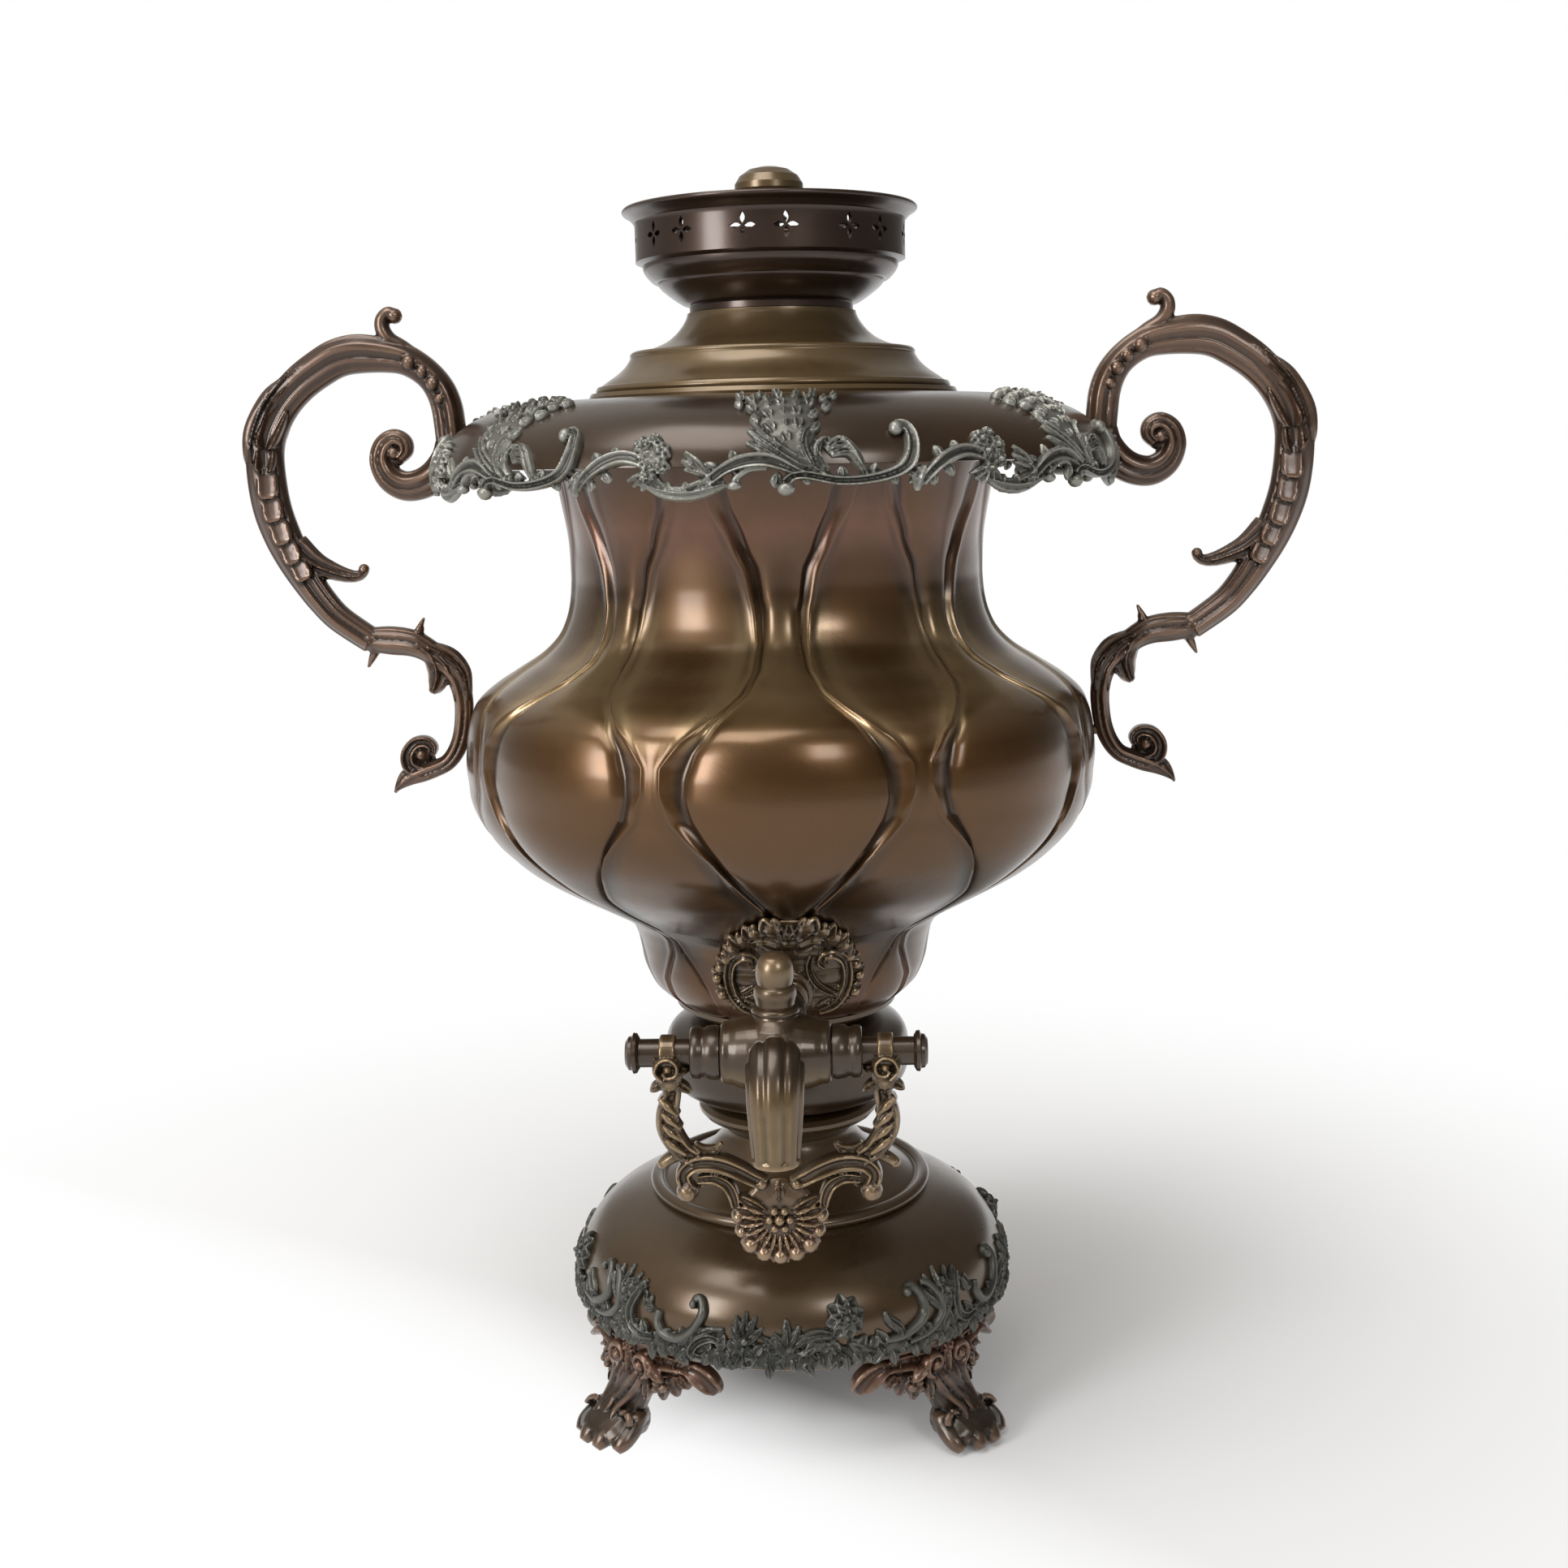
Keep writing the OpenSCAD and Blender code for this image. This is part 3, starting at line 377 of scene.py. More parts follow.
def on_turned(line, radius):
    """A surface for ornament: x runs round at the given radius, y runs up the outline."""
    p = smooth(line, 4)
    run = np.concatenate([[0], np.cumsum(np.hypot(np.diff(p[:, 0]), np.diff(p[:, 1])))])
    d = np.gradient(p, axis=0)
    d /= np.hypot(d[:, 0], d[:, 1])[:, None]

    def place(x, y, h):
        r, z = np.interp(y, run, p[:, 0]), np.interp(y, run, p[:, 1])
        nr, nz = np.interp(y, run, d[:, 1]), -np.interp(y, run, d[:, 0])
        if y < 0:
            z += y
        r, z, a = r + nr * h, z + nz * h, x / radius
        return (r * math.sin(a), -r * math.cos(a), z)

    return place


def on_wall(line, radius, turn=0.0):
    """The same for a steep wall given as (height, radius) rows: y is the height."""
    t = np.array(line, float)
    slope = np.gradient(t[:, 1], t[:, 0])

    def place(x, y, h):
        r, g = np.interp(y, t[:, 0], t[:, 1]), np.interp(y, t[:, 0], slope)
        f = 1 / math.hypot(1, g)
        a = x / radius + math.radians(turn)
        r, z = r + h * f, y - h * g * f
        return (r * math.sin(a), -r * math.cos(a), z)

    return place


def on_plane(y0):
    """An upright plane across the front at y0, h towards the front."""
    return lambda x, z, h: (x, y0 - h, z)


# ---------- sizes and colours ----------


class SamovarSizes(bpy.types.PropertyGroup):
    """Sizes of the visual pieces."""

    lobes: IntProperty(name="Lobes", description="Pear-shaped lobes round the urn", default=8,
                       min=4, max=12)
    lobe_turn: FloatProperty(name="Lobe turn", description="Turn of the lobes from the tap",
                             default=math.radians(3.2), subtype="ANGLE")
    border_repeats: IntProperty(name="Border repeats", description="Repeats of the brim border",
                                default=7, min=3, max=12)
    brim_radius: FloatProperty(name="Brim radius", description="Outer radius of the brim",
                               default=extent("brim", 1)[1], unit="LENGTH")
    brim_top: FloatProperty(name="Brim top", description="Height of the brim's crown",
                            default=extent("brim", 2)[1], unit="LENGTH")
    brim_drop: FloatProperty(name="Brim drop", description="Depth of the brim's quarter round",
                             default=0.03, unit="LENGTH")
    base_radius: FloatProperty(name="Base radius", description="Outer radius of the base's rim",
                               default=0.091, unit="LENGTH")
    handle_thickness: FloatProperty(name="Handle thickness", description="Front to back",
                                    default=0.013, unit="LENGTH")
    plug_out: FloatProperty(name="Plug distance", description="From the axis to the tap's plug",
                            default=0.105, unit="LENGTH")
    plug_height: FloatProperty(name="Plug height", description="Height of the tap's plug",
                               default=0.179, unit="LENGTH")
    spout_bore: FloatProperty(name="Spout bore", description="Bore of the spout", default=0.011,
                              unit="LENGTH")
    grain: FloatProperty(name="Casting grain", description="Finest detail of the cast pieces",
                         default=0.00057, unit="LENGTH")


def colour(name, text, *rgb):
    return FloatVectorProperty(name=name, description=text, default=srgb(*rgb), subtype="COLOR",
                               min=0, max=1)


class SamovarColours(bpy.types.PropertyGroup):
    """Colours of the finishes."""

    bronze: colour("Bronze", "Olive-brown metal of the urn", 88, 58, 22)
    olive: colour("Olive", "Lighter olive of the lid", 104, 84, 54)
    # also painted shade: under the urn's belly and under the brim, and partly on the air collar
    # under the urn; on the brim it is the body colour
    dusk: colour("Dusk", "Dark brown under the belly and on the brim", 58, 42, 26)
    brown: colour("Brown", "Browner metal of the brim and base", 84, 66, 44)
    # on the urn's neck this copper tint is partly a painted reflection
    copper_and_sheen: colour("Rose", "Copper showing through the patina", 112, 76, 58)
    # also laid round the urn as painted shade under the belly and under the brim
    umber: colour("Umber", "Patina in grooves", 34, 25, 17)
    copper: colour("Copper", "Dark red copper of the crown", 54, 38, 29)
    pewter: colour("Pewter", "Grey metal of the brim's border", 101, 100, 92)
    lead: colour("Lead", "Darker grey of the border round the base", 60, 60, 56)
    pewter_light: colour("Worn pewter", "Rubbed ridges of the borders", 150, 149, 141)
    pewter_dark: colour("Dull pewter", "Recesses of the borders", 34, 32, 27)
    cast: colour("Handle metal", "Red-brown metal of the handles", 68, 50, 39)
    rust: colour("Rust red", "Copper red of the feet's upper leaves", 108, 74, 56)
    moss: colour("Recess brown", "Patina in the tap's recesses", 50, 39, 26)
    cast_light: colour("Worn handle", "Rubbed ridges of handles and feet", 124, 97, 78)
    # painted reflection: the lighter band round the urn's shoulder
    shoulder_sheen: colour("Straw", "Worn band round the urn's shoulder", 180, 153, 112)
    brass: colour("Tap brass", "Brown brass of the tap", 64, 50, 36)
    # also a painted highlight on the top of the tap's acorn
    brass_light: colour("Worn brass", "Rubbed ridges of the tap", 150, 126, 94)


def sizes():
    return bpy.context.scene.samovar_sizes


def tint(name):
    """A named colour, with full strength as its fourth value."""
    return (*getattr(bpy.context.scene.samovar_colours, name), 1)


# ---------- finishes ----------


def cleared(owner):
    """The node tree of a material or a world, emptied."""
    owner.use_nodes = True
    owner.node_tree.nodes.clear()
    return owner.node_tree


def add_node(tree, kind, inputs=(), **settings):
    """A node with its settings, each listed input set to a value or joined to a socket."""
    node = tree.nodes.new(kind)
    for key, value in settings.items():
        setattr(node, key, value)
    for key, value in dict(inputs).items():
        if isinstance(value, bpy.types.NodeSocket):
            tree.links.new(value, node.inputs[key])
        else:
            node.inputs[key].default_value = value
    return node


def ranged(tree, value, lo, hi, to_lo=0.0, to_hi=1.0, curve="SMOOTHSTEP"):
    """A value that runs from lo to hi, mapped to another range."""
    inputs = {"Value": value, "From Min": lo, "From Max": hi, "To Min": to_lo, "To Max": to_hi}
    return add_node(tree, "ShaderNodeMapRange", inputs, interpolation_type=curve).outputs["Result"]


def maths(tree, operation, *values):
    """One sum on sockets or numbers."""
    return add_node(tree, "ShaderNodeMath", enumerate(values), operation=operation).outputs[0]


def patina(name, body, low, high, rough, scale, spots, bump, metallic, coat=0.6, zones=()):
    """Aged metal: three colours mixed by noise, darker in recesses and brighter on ridges.
    zones are (height in metres, colour) rows; on the urn and the tap some of them are painted light
    and shade."""
    mat = bpy.data.materials.new(name)
    tree = cleared(mat)
    place = add_node(tree, "ShaderNodeTexCoord").outputs["Object"]

    def noise(size, detail, roughness=0.6, warp=0.0):
        inputs = {"Vector": place, "Scale": size, "Detail": detail, "Roughness": roughness,
                  "Distortion": warp}
        return add_node(tree, "ShaderNodeTexNoise", inputs).outputs["Fac"]

    def mixed(share, a, b):
        inputs = {"Factor": share, "A": a, "B": b}
        return add_node(tree, "ShaderNodeMix", inputs, data_type="RGBA").outputs["Result"]

    broad = noise(scale * 0.25, 3, 0.55, 0.3)
    colour = mixed(ranged(tree, broad, 0.5 - 0.2 * spots, 0.5 + 0.35 * spots, 0, 0.5), body, high)
    if zones:
        first, last = zones[0][0], zones[-1][0]
        height = add_node(tree, "ShaderNodeSeparateXYZ", {0: place}).outputs["Z"]
        level = ranged(tree, height, first, last, curve="LINEAR")
        ramp = add_node(tree, "ShaderNodeValToRGB", {0: level})
        marks = ramp.color_ramp.elements
        while len(marks) < len(zones):
            marks.new(0.5)
        for mark, (z, c) in zip(marks, zones):
            mark.position, mark.color = (z - first) / (last - first), c
        patches = ranged(tree, noise(scale * 0.4, 2, 0.5), 0.35, 0.6, 0.6, 1)
        colour = mixed(patches, colour, ramp.outputs["Color"])
    fine = noise(scale * 4, 6, 0.65)
    colour = mixed(ranged(tree, fine, 0.45, 0.8, 0, 0.5 * spots), colour, low)
    wear_and_shade = add_node(tree, "ShaderNodeAttribute", attribute_name="ridge").outputs["Fac"]
    colour = mixed(ranged(tree, wear_and_shade, 0.1, 0.9, 0, 0.8), colour, high)
    colour = mixed(ranged(tree, wear_and_shade, -0.1, -1, 0, 0.7), colour, low)
    pits = add_node(tree, "ShaderNodeBump", {
        "Height": noise(scale * 8, 5, 0.7), "Strength": bump, "Distance": 0.0004})
    shader = add_node(tree, "ShaderNodeBsdfPrincipled", {
        "Base Color": colour, "Metallic": metallic, "Normal": pits.outputs["Normal"],
        "Roughness": ranged(tree, noise(scale * 1.5, 4), 0.3, 0.75, *rough),
        "Coat Weight": coat, "Coat Roughness": 0.2})
    add_node(tree, "ShaderNodeOutputMaterial", {"Surface": shader.outputs["BSDF"]})
    return mat


# a finish's body, recess and ridge colours, its range of roughness, the scale and the strength of
# its spots, how pitted and how metallic it is and, where it differs, how strong its lacquer is
FINISHES = {
    "bronze_urn": ("bronze", "umber", "bronze", (0.26, 0.38), 22, 0.4, 0.04, 0.72, 0.6),
    "bronze_brim": ("dusk", "umber", "bronze", (0.28, 0.38), 26, 0.5, 0.05, 0.6),
    "bronze_lid": ("olive", "umber", "brown", (0.3, 0.4), 26, 0.5, 0.05, 0.6),
    "bronze_base": ("brown", "umber", "bronze", (0.26, 0.38), 26, 0.5, 0.05, 0.6),
    # the air collar's dark brown is partly painted shade under the urn
    "bronze_collar": ("dusk", "umber", "brown", (0.26, 0.38), 26, 0.5, 0.05, 0.6),
    "copper_crown": ("copper", "umber", "cast", (0.28, 0.4), 30, 0.5, 0.06, 0.7),
    "pewter_border": ("pewter", "pewter_dark", "pewter_light", (0.38, 0.52), 60, 0.5, 0.2, 0.7,
                      0.3),
    "pewter_apron": ("lead", "pewter_dark", "pewter", (0.38, 0.52), 60, 0.5, 0.2, 0.7, 0.3),
    "cast_handle": ("cast", "umber", "cast_light", (0.3, 0.42), 50, 0.5, 0.15, 0.65),
    "cast_feet": ("cast", "umber", "cast_light", (0.34, 0.46), 50, 0.5, 0.2, 0.6),
    "brass_bar": ("brass", "moss", "brass", (0.32, 0.44), 45, 0.5, 0.12, 0.6),
    "brass_tap": ("brass", "moss", "brass_light", (0.28, 0.4), 45, 0.5, 0.12, 0.65),
    "brass_trim": ("brass", "moss", "brass_light", (0.28, 0.4), 45, 0.5, 0.12, 0.65),
    "dark_inside": ("brown", "umber", "brown", (0.4, 0.6), 40, 0.5, 0.1, 0.6),
}
# colours of a finish against height in metres, laid over its body colour in patches
ZONES = {
    # the urn: painted shade under the belly and under the brim, darker at the waist, a painted
    # reflection band round the shoulder, and a copper tint on the neck that is partly a painted
    # reflection
    "bronze_urn": ((0.172, "copper_and_sheen"), (0.2, "dusk"), (0.222, "umber"), (0.245, "dusk"),
                   (0.268, "bronze"), (0.292, "bronze"), (0.304, "shoulder_sheen"), (0.318, "shoulder_sheen"),
                   (0.345, "dusk"), (0.37, "copper_and_sheen"), (0.395, "dusk"), (0.412, "umber")),
    "cast_feet": ((0.0, "moss"), (0.018, "moss"), (0.03, "cast"), (0.04, "rust"), (0.047, "rust")),
    # the tap: a painted highlight on the top of the acorn
    "brass_tap": ((0.143, "olive"), (0.17, "olive"), (0.178, "brass"), (0.186, "brass"),
                  (0.2, "brown"), (0.214, "brass_light")),
    "brass_trim": ((0.11, "cast_light"), (0.13, "brown"), (0.15, "brown"), (0.23, "brown")),
}


def metal(name):
    """The named finish, made the first time it is asked for."""
    if name not in bpy.data.materials:
        body, low, high, *rest = FINISHES[name]
        zones = [(z, tint(c)) for z, c in ZONES.get(name, ())]
        patina(name, tint(body), tint(low), tint(high), *rest, zones=zones)
    return bpy.data.materials[name]


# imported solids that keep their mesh, by finish
SOLIDS = {
    "bronze_base": ("neck_ring", "collar_ring", "base_ring"),
    "bronze_lid": ("seat_ring", "cap_knob"),
    "copper_crown": ("cap",),
    "brass_bar": ("tap_plug", "plug_ends"),
    "dark_inside": ("foot_screws", "grate", "body_floor", "fire_tube", "cap_screw", "handle_screws",
                    "shank_nut", "shank_washer"),
}


class SAMOVAR_OT_solids(bpy.types.Operator):
    """Gives the solids that stay as they are their metal finishes"""

    bl_idname = "samovar.solids"
    bl_label = "Rings, plug and inner parts"

    def execute(self, context):
        for finish, names in SOLIDS.items():
            for n in names:
                nodes[n].data.materials.clear()
                nodes[n].data.materials.append(metal(finish))
        return {"FINISHED"}


# ---------- urn ----------

# radius of the crests against height
CREST = [(172, 46.5), (175, 50.5), (180, 55.6), (187.5, 59.2), (194.6, 60.6), (201.7, 62.4),
         (209, 67), (216.6, 80), (224.2, 94), (231.7, 106.4), (239, 115.4), (246, 122),
         (253, 126.2), (260, 128.4), (267, 128.9), (273.5, 129.5), (280, 129.2), (286.6, 128.4),
         (293.2, 126.8), (299.6, 123.8), (306, 116.6), (312.2, 106.8), (318.5, 96.8), (325, 90.2),
         (331.5, 86.8), (338, 85), (344.6, 84.2), (351, 84), (364, 84.4), (377, 86.4), (388, 88.5),
         (400, 92), (412, 95)]
# half angles of a lobe's groove and of the ridge outside it, against height
GROOVE = [(172, 13.5), (180, 12.6), (187.5, 11.2), (195, 6.8), (201, 2.6), (206, 1.6), (214, 1.8),
          (222, 2.8), (232.5, 4.85), (241, 7.9), (251, 11.3), (260, 13.9), (268, 16.2),
          (275.5, 17.2), (284, 17), (293, 15.6), (299, 13.4), (303, 12.2), (307, 10), (312, 7.2),
          (319, 5.3), (329, 4.7), (340, 4.8), (344, 5.6), (355, 6.5), (361, 8.6), (369, 10.3),
          (377, 12.6), (388, 14), (412, 15)]
RIDGE = [(172, 15), (187.5, 13), (201, 4.6), (206, 3), (214, 3.1), (222, 4), (232.5, 5.9),
         (241, 8.9), (248, 10.9), (253.5, 12.6), (260.5, 15.9), (268, 19), (279, 20.7), (288, 20.7),
         (297, 17.7), (303.8, 13.6), (307, 11.4), (312, 8.6), (319, 6.9), (329, 6.3), (340, 7.2),
         (355, 9.6), (361, 11.8), (369, 14.2), (377, 17), (388, 19), (412, 20)]
# how far a lobe falls from its crest to its groove, and how deep the groove is, against height
DROP = [(172, 0.8), (196, 1.2), (209, 1), (222, 2), (240, 3.2), (290, 3.4), (306, 2.6), (330, 1.8),
        (364, 1.8), (385, 1.2), (398, 0.4), (412, 0)]
DEPTH = [(172, 0.8), (200, 0.9), (215, 1.2), (240, 1.7), (290, 1.7), (320, 1.6), (360, 1.6),
         (385, 1.2), (398, 0.4), (412, 0)]
# the inside is turned round, this far in from the crests
URN_WALL = 6.2


def urn_columns():
    """The columns of one lobe with its ridges and panel: kind and place across it."""
    cols = [("lobe", u) for u in (-1, -0.965, -0.92, -0.85, -0.74, -0.58, -0.38, -0.18, 0, 0.18,
                                  0.38, 0.58, 0.74, 0.85, 0.92, 0.965, 1)]
    cols += [("strip", t) for t in (0.25, 0.55, 0.8, 1.0)]
    cols += [("panel", q) for q in (0.02, 0.05, 0.1, 0.19, 0.34, 0.5, 0.66, 0.81, 0.9, 0.95, 0.98)]
    return cols + [("far", t) for t in (1.0, 0.8, 0.55, 0.25)]


def urn_point(kind, q, z, r, sector):
    """Angle from the lobe's middle in degrees, and radius, on the outside of the urn."""
    inner, outer = along(GROOVE, z), along(RIDGE, z)
    outer = max(outer, inner + 1.3 * DEG / r)
    drop, depth = along(DROP, z), along(DEPTH, z)
    ridge = 0.75 * depth
    if kind == "lobe":
        edge = (1 - abs(q)) * inner * r / DEG
        return q * inner, r - drop * abs(q) ** 2.2 - depth * math.exp(-(edge / 1.5) ** 1.4)
    if kind == "panel":
        width = sector - 2 * outer
        edge = min(q, 1 - q) * width * r / DEG
        bulge = 0.35 * drop * (1 - (2 * q - 1) ** 2)
        return outer + q * width, r - drop + bulge + ridge * math.exp(-(edge / 1.3) ** 2)
    angle = inner + q * (outer - inner)
    t = 0.5 - 0.5 * math.cos(math.pi * min(1, q))
    radius = r - drop - depth + (depth + ridge) * t
    return (angle if kind == "strip" else sector - angle), radius


class SAMOVAR_OT_urn(bpy.types.Operator):
    """Spins the urn's shell and raises its lobes, grooves and straps"""

    bl_idname = "samovar.urn"
    bl_label = "Urn"

    def execute(self, context):
        lobes, turn = sizes().lobes, sizes().lobe_turn
        line = smooth(CREST, 5)
        columns = urn_columns()
        per, n = len(columns), lobes * len(columns)
        inside = [(r - URN_WALL, z) for z, r in CREST[::-1][::3]]
        outline = [(r, z) for z, r in line] + inside
        obj = turned("urn_shell", outline + outline[:1], n)
        co = coords(obj) / MM
        heights, crests = line.T
        angle = np.degrees(np.arctan2(co[:, 0], -co[:, 1])) % 360
        radius = np.hypot(co[:, 0], co[:, 1])
        outside = np.abs(radius - np.interp(co[:, 2], heights, crests)) < 0.5
        # every column of the spin takes its place in a lobe or a panel
        index = np.round(angle / (360 / n)).astype(int) % n
        known = {}
        for i in range(len(co)):
            lobe, column = divmod(int(index[i]), per)
            z = round(float(co[i, 2]), 4)
            key = (*columns[column], z)
            if key not in known:
                known[key] = urn_point(*key, float(np.interp(z, heights, crests)), 360 / lobes)
            a, r = known[key]
            if not outside[i]:
                r = radius[i]
            t = turn + math.radians(lobe * 360 / lobes + a)
            co[i] = (r * math.sin(t), -r * math.cos(t), z)
        set_coords(obj, co * MM)
        mark_wear(obj, 2.2, 4)
        # its finish paints shade under the belly and under the brim and a reflection round the
        # shoulder
        finish_piece(obj, "urn", "bronze_urn", ["body_shell"], wear=False, angle=60)
        return {"FINISHED"}


# ---------- turned sheet ----------

# outlines of (radius, height); None starts a new run, with a sharp edge between the runs
BASE_LINE = [(90, 45), (91.6, 45.7), (92, 47), (91.7, 49.6), (91, 52), (90.9, 58), (89.4, 65),
             (85.6, 72.2), (80, 78.3), (73.6, 82.7), (66, 86.2), (60.6, 88), (58.6, 88.6), None,
             (58.6, 88.6), (59.8, 89.6), (59.9, 91.4), (58.6, 93), (56.6, 93.4), (55, 92.6),
             (54.4, 91.5), None, (54.4, 91.5), (53.6, 91.9), (52.2, 92.9), (48, 95.3), (41, 99.2),
             (35, 103.4), (30.8, 107.8), (28.4, 111.2), (27.4, 114)]
# radius of the rim that BASE_LINE is drawn for; a wider rim moves it out below a height, and
# less and less over the last millimetres under it
BASE_RIM, BASE_FIXED, BASE_FADE = 91, 100, 8
LID_LINE = [(70.5, 421.5), (71, 422.4), (70.3, 423.8), None, (69, 424), (66.3, 426), (62.3, 428.7),
            (59.2, 431.5), (57.3, 434.2), (56.9, 435.2), None, (56.9, 435.2), (57, 436.2),
            (56, 437.2), (54.6, 437.3), (53.6, 436.6), None, (53.6, 436.6), (50.6, 437.7),
            (46, 439.4), (42, 441.3), (38.8, 443.8), (36, 447), (34.2, 450), (33.6, 452)]
CROWN_LINE = [(32.6, 452.3), (32.6, 454.6), None, (32.6, 454.6), (35.4, 455.6), (39.4, 458.2),
              (43, 461), (44.6, 462.8), (45, 464), None, (45, 464), (46.6, 464), (48.8, 466),
              (50.4, 468.4), (50.8, 470.6), None, (50.8, 470.6), (53.5, 471.8), None,
              (53.5, 471.8), (53.5, 485), (54.3, 487.2), (56, 489), (58, 490.2), (58.4, 491.2),
              (57.8, 492)]
# walls: thickness, and how much lower the inside lies
BASE_SHEET, LID_SHEET, CROWN_SHEET = (2.4, 1.6), (1.3, 0.6), (2, 1.6)
BRIM_SHEET, BRIM_MOUTH = 2.2, 64
# the crown's bowl starts above its neck and its band above its lowest steps; the crosses stand
# in pairs round the band
BOWL_FOOT, BAND_FOOT = 457, 474
CROSS_RADIUS, CROSS_HEIGHT, CROSS_PAIRS = 52.6, 480, 8


def runs(line, k=4):
    """Smooths each run of an outline."""
    out, run = [], []
    for p in [*line, None]:
        if p is not None:
            run.append(p)
        elif run:
            out += [tuple(q) for q in smooth(run, k)]
            run = []
    return out


def sheet(line, wall, drop):
    """A closed outline: the line and the same one set in by the wall and drop lower."""
    low = line[0][1]
    inner = [(max(r - wall, 0.5), max(z - drop, low)) for r, z in line[::-1]]
    return line + inner + line[:1]


def spin_piece(name, outline, steps, body, finish, node, angle=35):
    """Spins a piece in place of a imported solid."""
    obj = turned(name, outline, steps)
    finish_piece(obj, body, finish, [node], wear=False, angle=angle)


def crosses(radius, height, pairs, apart=8.8):
    """Cutters for pairs of crosses round a band, each of four pointed petals. apart is half the
    angle between the two of a pair, in degrees."""
    petal = [(0, 0.5), (0.95, 1.9), (1.1, 3), (0.7, 4), (0, 5), (-0.7, 4), (-1.1, 3), (-0.95, 1.9)]
    half = 3.5
    verts, faces = [], []
    for i in range(pairs * 2):
        a = math.radians((i // 2) * 360 / pairs + (apart if i % 2 else -apart))
        for q in range(4):
            c, s = ((1, 0), (0, 1), (-1, 0), (0, -1))[q]
            base = len(verts)
            for out in (-half, half):
                for x, z in petal:
                    u, v, r = x * c - z * s, x * s + z * c, radius + out
                    verts.append((r * math.sin(a) + u * math.cos(a),
                                  -r * math.cos(a) + u * math.sin(a), height + v))
            n = len(petal)
            faces.append([base + j for j in range(n)])
            faces.append([base + n + j for j in reversed(range(n))])
            faces += [[base + j, base + n + j, base + n + (j + 1) % n, base + (j + 1) % n]
                      for j in range(n)]
    cutter = from_lists("crosses", verts, faces)
    activate(cutter)
    bpy.ops.object.mode_set(mode="EDIT")
    bpy.ops.mesh.select_all(action="SELECT")
    bpy.ops.mesh.normals_make_consistent(inside=False)
    bpy.ops.object.mode_set(mode="OBJECT")
    return cutter


# the air collar: middle and half height of its bulge, its wall, its foot and its top
COLLAR_MIDDLE, COLLAR_HALF, COLLAR_WALL = 147, 20, 2.4
COLLAR_FOOT, COLLAR_TOP = 127.2, 166.6
# exponent of the bulge's round, and how far its ends are from its middle in degrees
BULGE, BULGE_END = 0.625, 54
AIR_HOLE = 2.6


def collar_bulge(inset=0.0):
    """The bulge of the air collar from its foot to its top, or the inside of it."""
    radius = extent("air_collar", 0)[1] / MM
    return [((radius - inset) * math.cos(a) ** BULGE,
             COLLAR_MIDDLE + math.copysign(COLLAR_HALF - inset, a) * abs(math.sin(a)) ** BULGE)
            for a in map(math.radians, range(-BULGE_END, BULGE_END + 1, 3))]


class SAMOVAR_OT_air_collar(bpy.types.Operator):
    """Spins the hollow collar under the urn and drills its air holes at the back"""

    bl_idname = "samovar.air_collar"
    bl_label = "Air collar"

    def execute(self, context):
        foot = [(20, COLLAR_FOOT), (33, COLLAR_FOOT)]
        line = (foot + collar_bulge() + [(30, COLLAR_TOP), (30, COLLAR_TOP - COLLAR_WALL)]
                + collar_bulge(COLLAR_WALL)[::-1]
                + [(32, COLLAR_FOOT + COLLAR_WALL), (20, COLLAR_FOOT + COLLAR_WALL)] + foot[:1])
        collar = turned("collar_shell", line)
        for turn in range(-24, 25, 12):
            s, c = math.sin(math.radians(turn)), math.cos(math.radians(turn))
            for up in (-5, 5):
                bored(collar, (-20 * s, 20 * c, COLLAR_MIDDLE + up), (-s, c, 0), AIR_HOLE, 40)
        # the collar's dark brown finish is partly painted shade under the urn
        finish_piece(collar, "urn", "bronze_collar", ["air_collar"], wear=False, angle=35)
        return {"FINISHED"}


class SAMOVAR_OT_turnings(bpy.types.Operator):
    """Spins the brim, the base, the lid and the pierced crown with their mouldings"""

    bl_idname = "samovar.turnings"
    bl_label = "Brim, base, lid and crown"

    def execute(self, context):
        rim, back = brim_outline(40)[3:], brim_outline(40, BRIM_SHEET)[3:]
        mouth = [(BRIM_MOUTH, rim[-1][1]), (BRIM_MOUTH, back[-1][1])]
        spin_piece("brim_shell", rim + mouth + back[::-1] + rim[:1], 160, "urn",
                   "bronze_brim", "brim")
        out = sizes().base_radius / MM - BASE_RIM
        base = [p and (p[0] + out * min(1, max(0, (BASE_FIXED - p[1]) / BASE_FADE)), p[1])
                for p in BASE_LINE]
        spin_piece("base_shell", sheet(runs(base), *BASE_SHEET), 160, "urn",
                   "bronze_base", "base_dome")
        spin_piece("lid_shell", sheet(runs(LID_LINE), *LID_SHEET), 144, "lid",
                   "bronze_lid", "lid")
        wall = runs(CROWN_LINE)
        inner = [(r - CROWN_SHEET[0], z + (CROWN_SHEET[1] if z < BAND_FOOT else 0))
                 for r, z in wall[::-1] if z > BOWL_FOOT]
        neck = [(34, 458.2), (26.6, 458), (26.6, 441), (28.6, 441), (28.6, 452.3)]
        crown = turned("crown_shell", wall + inner + neck + wall[:1], 144)
        cut(crown, crosses(CROSS_RADIUS, CROSS_HEIGHT, CROSS_PAIRS))
        finish_piece(crown, "crown", "copper_crown", ["crown"], wear=False, angle=35)
        return {"FINISHED"}


# ---------- brim border ----------

# radius at which the brim's flat top passes into its quarter round, and how full the round is
BRIM_FLAT, BRIM_ROUND = 85, 2 / 2.3


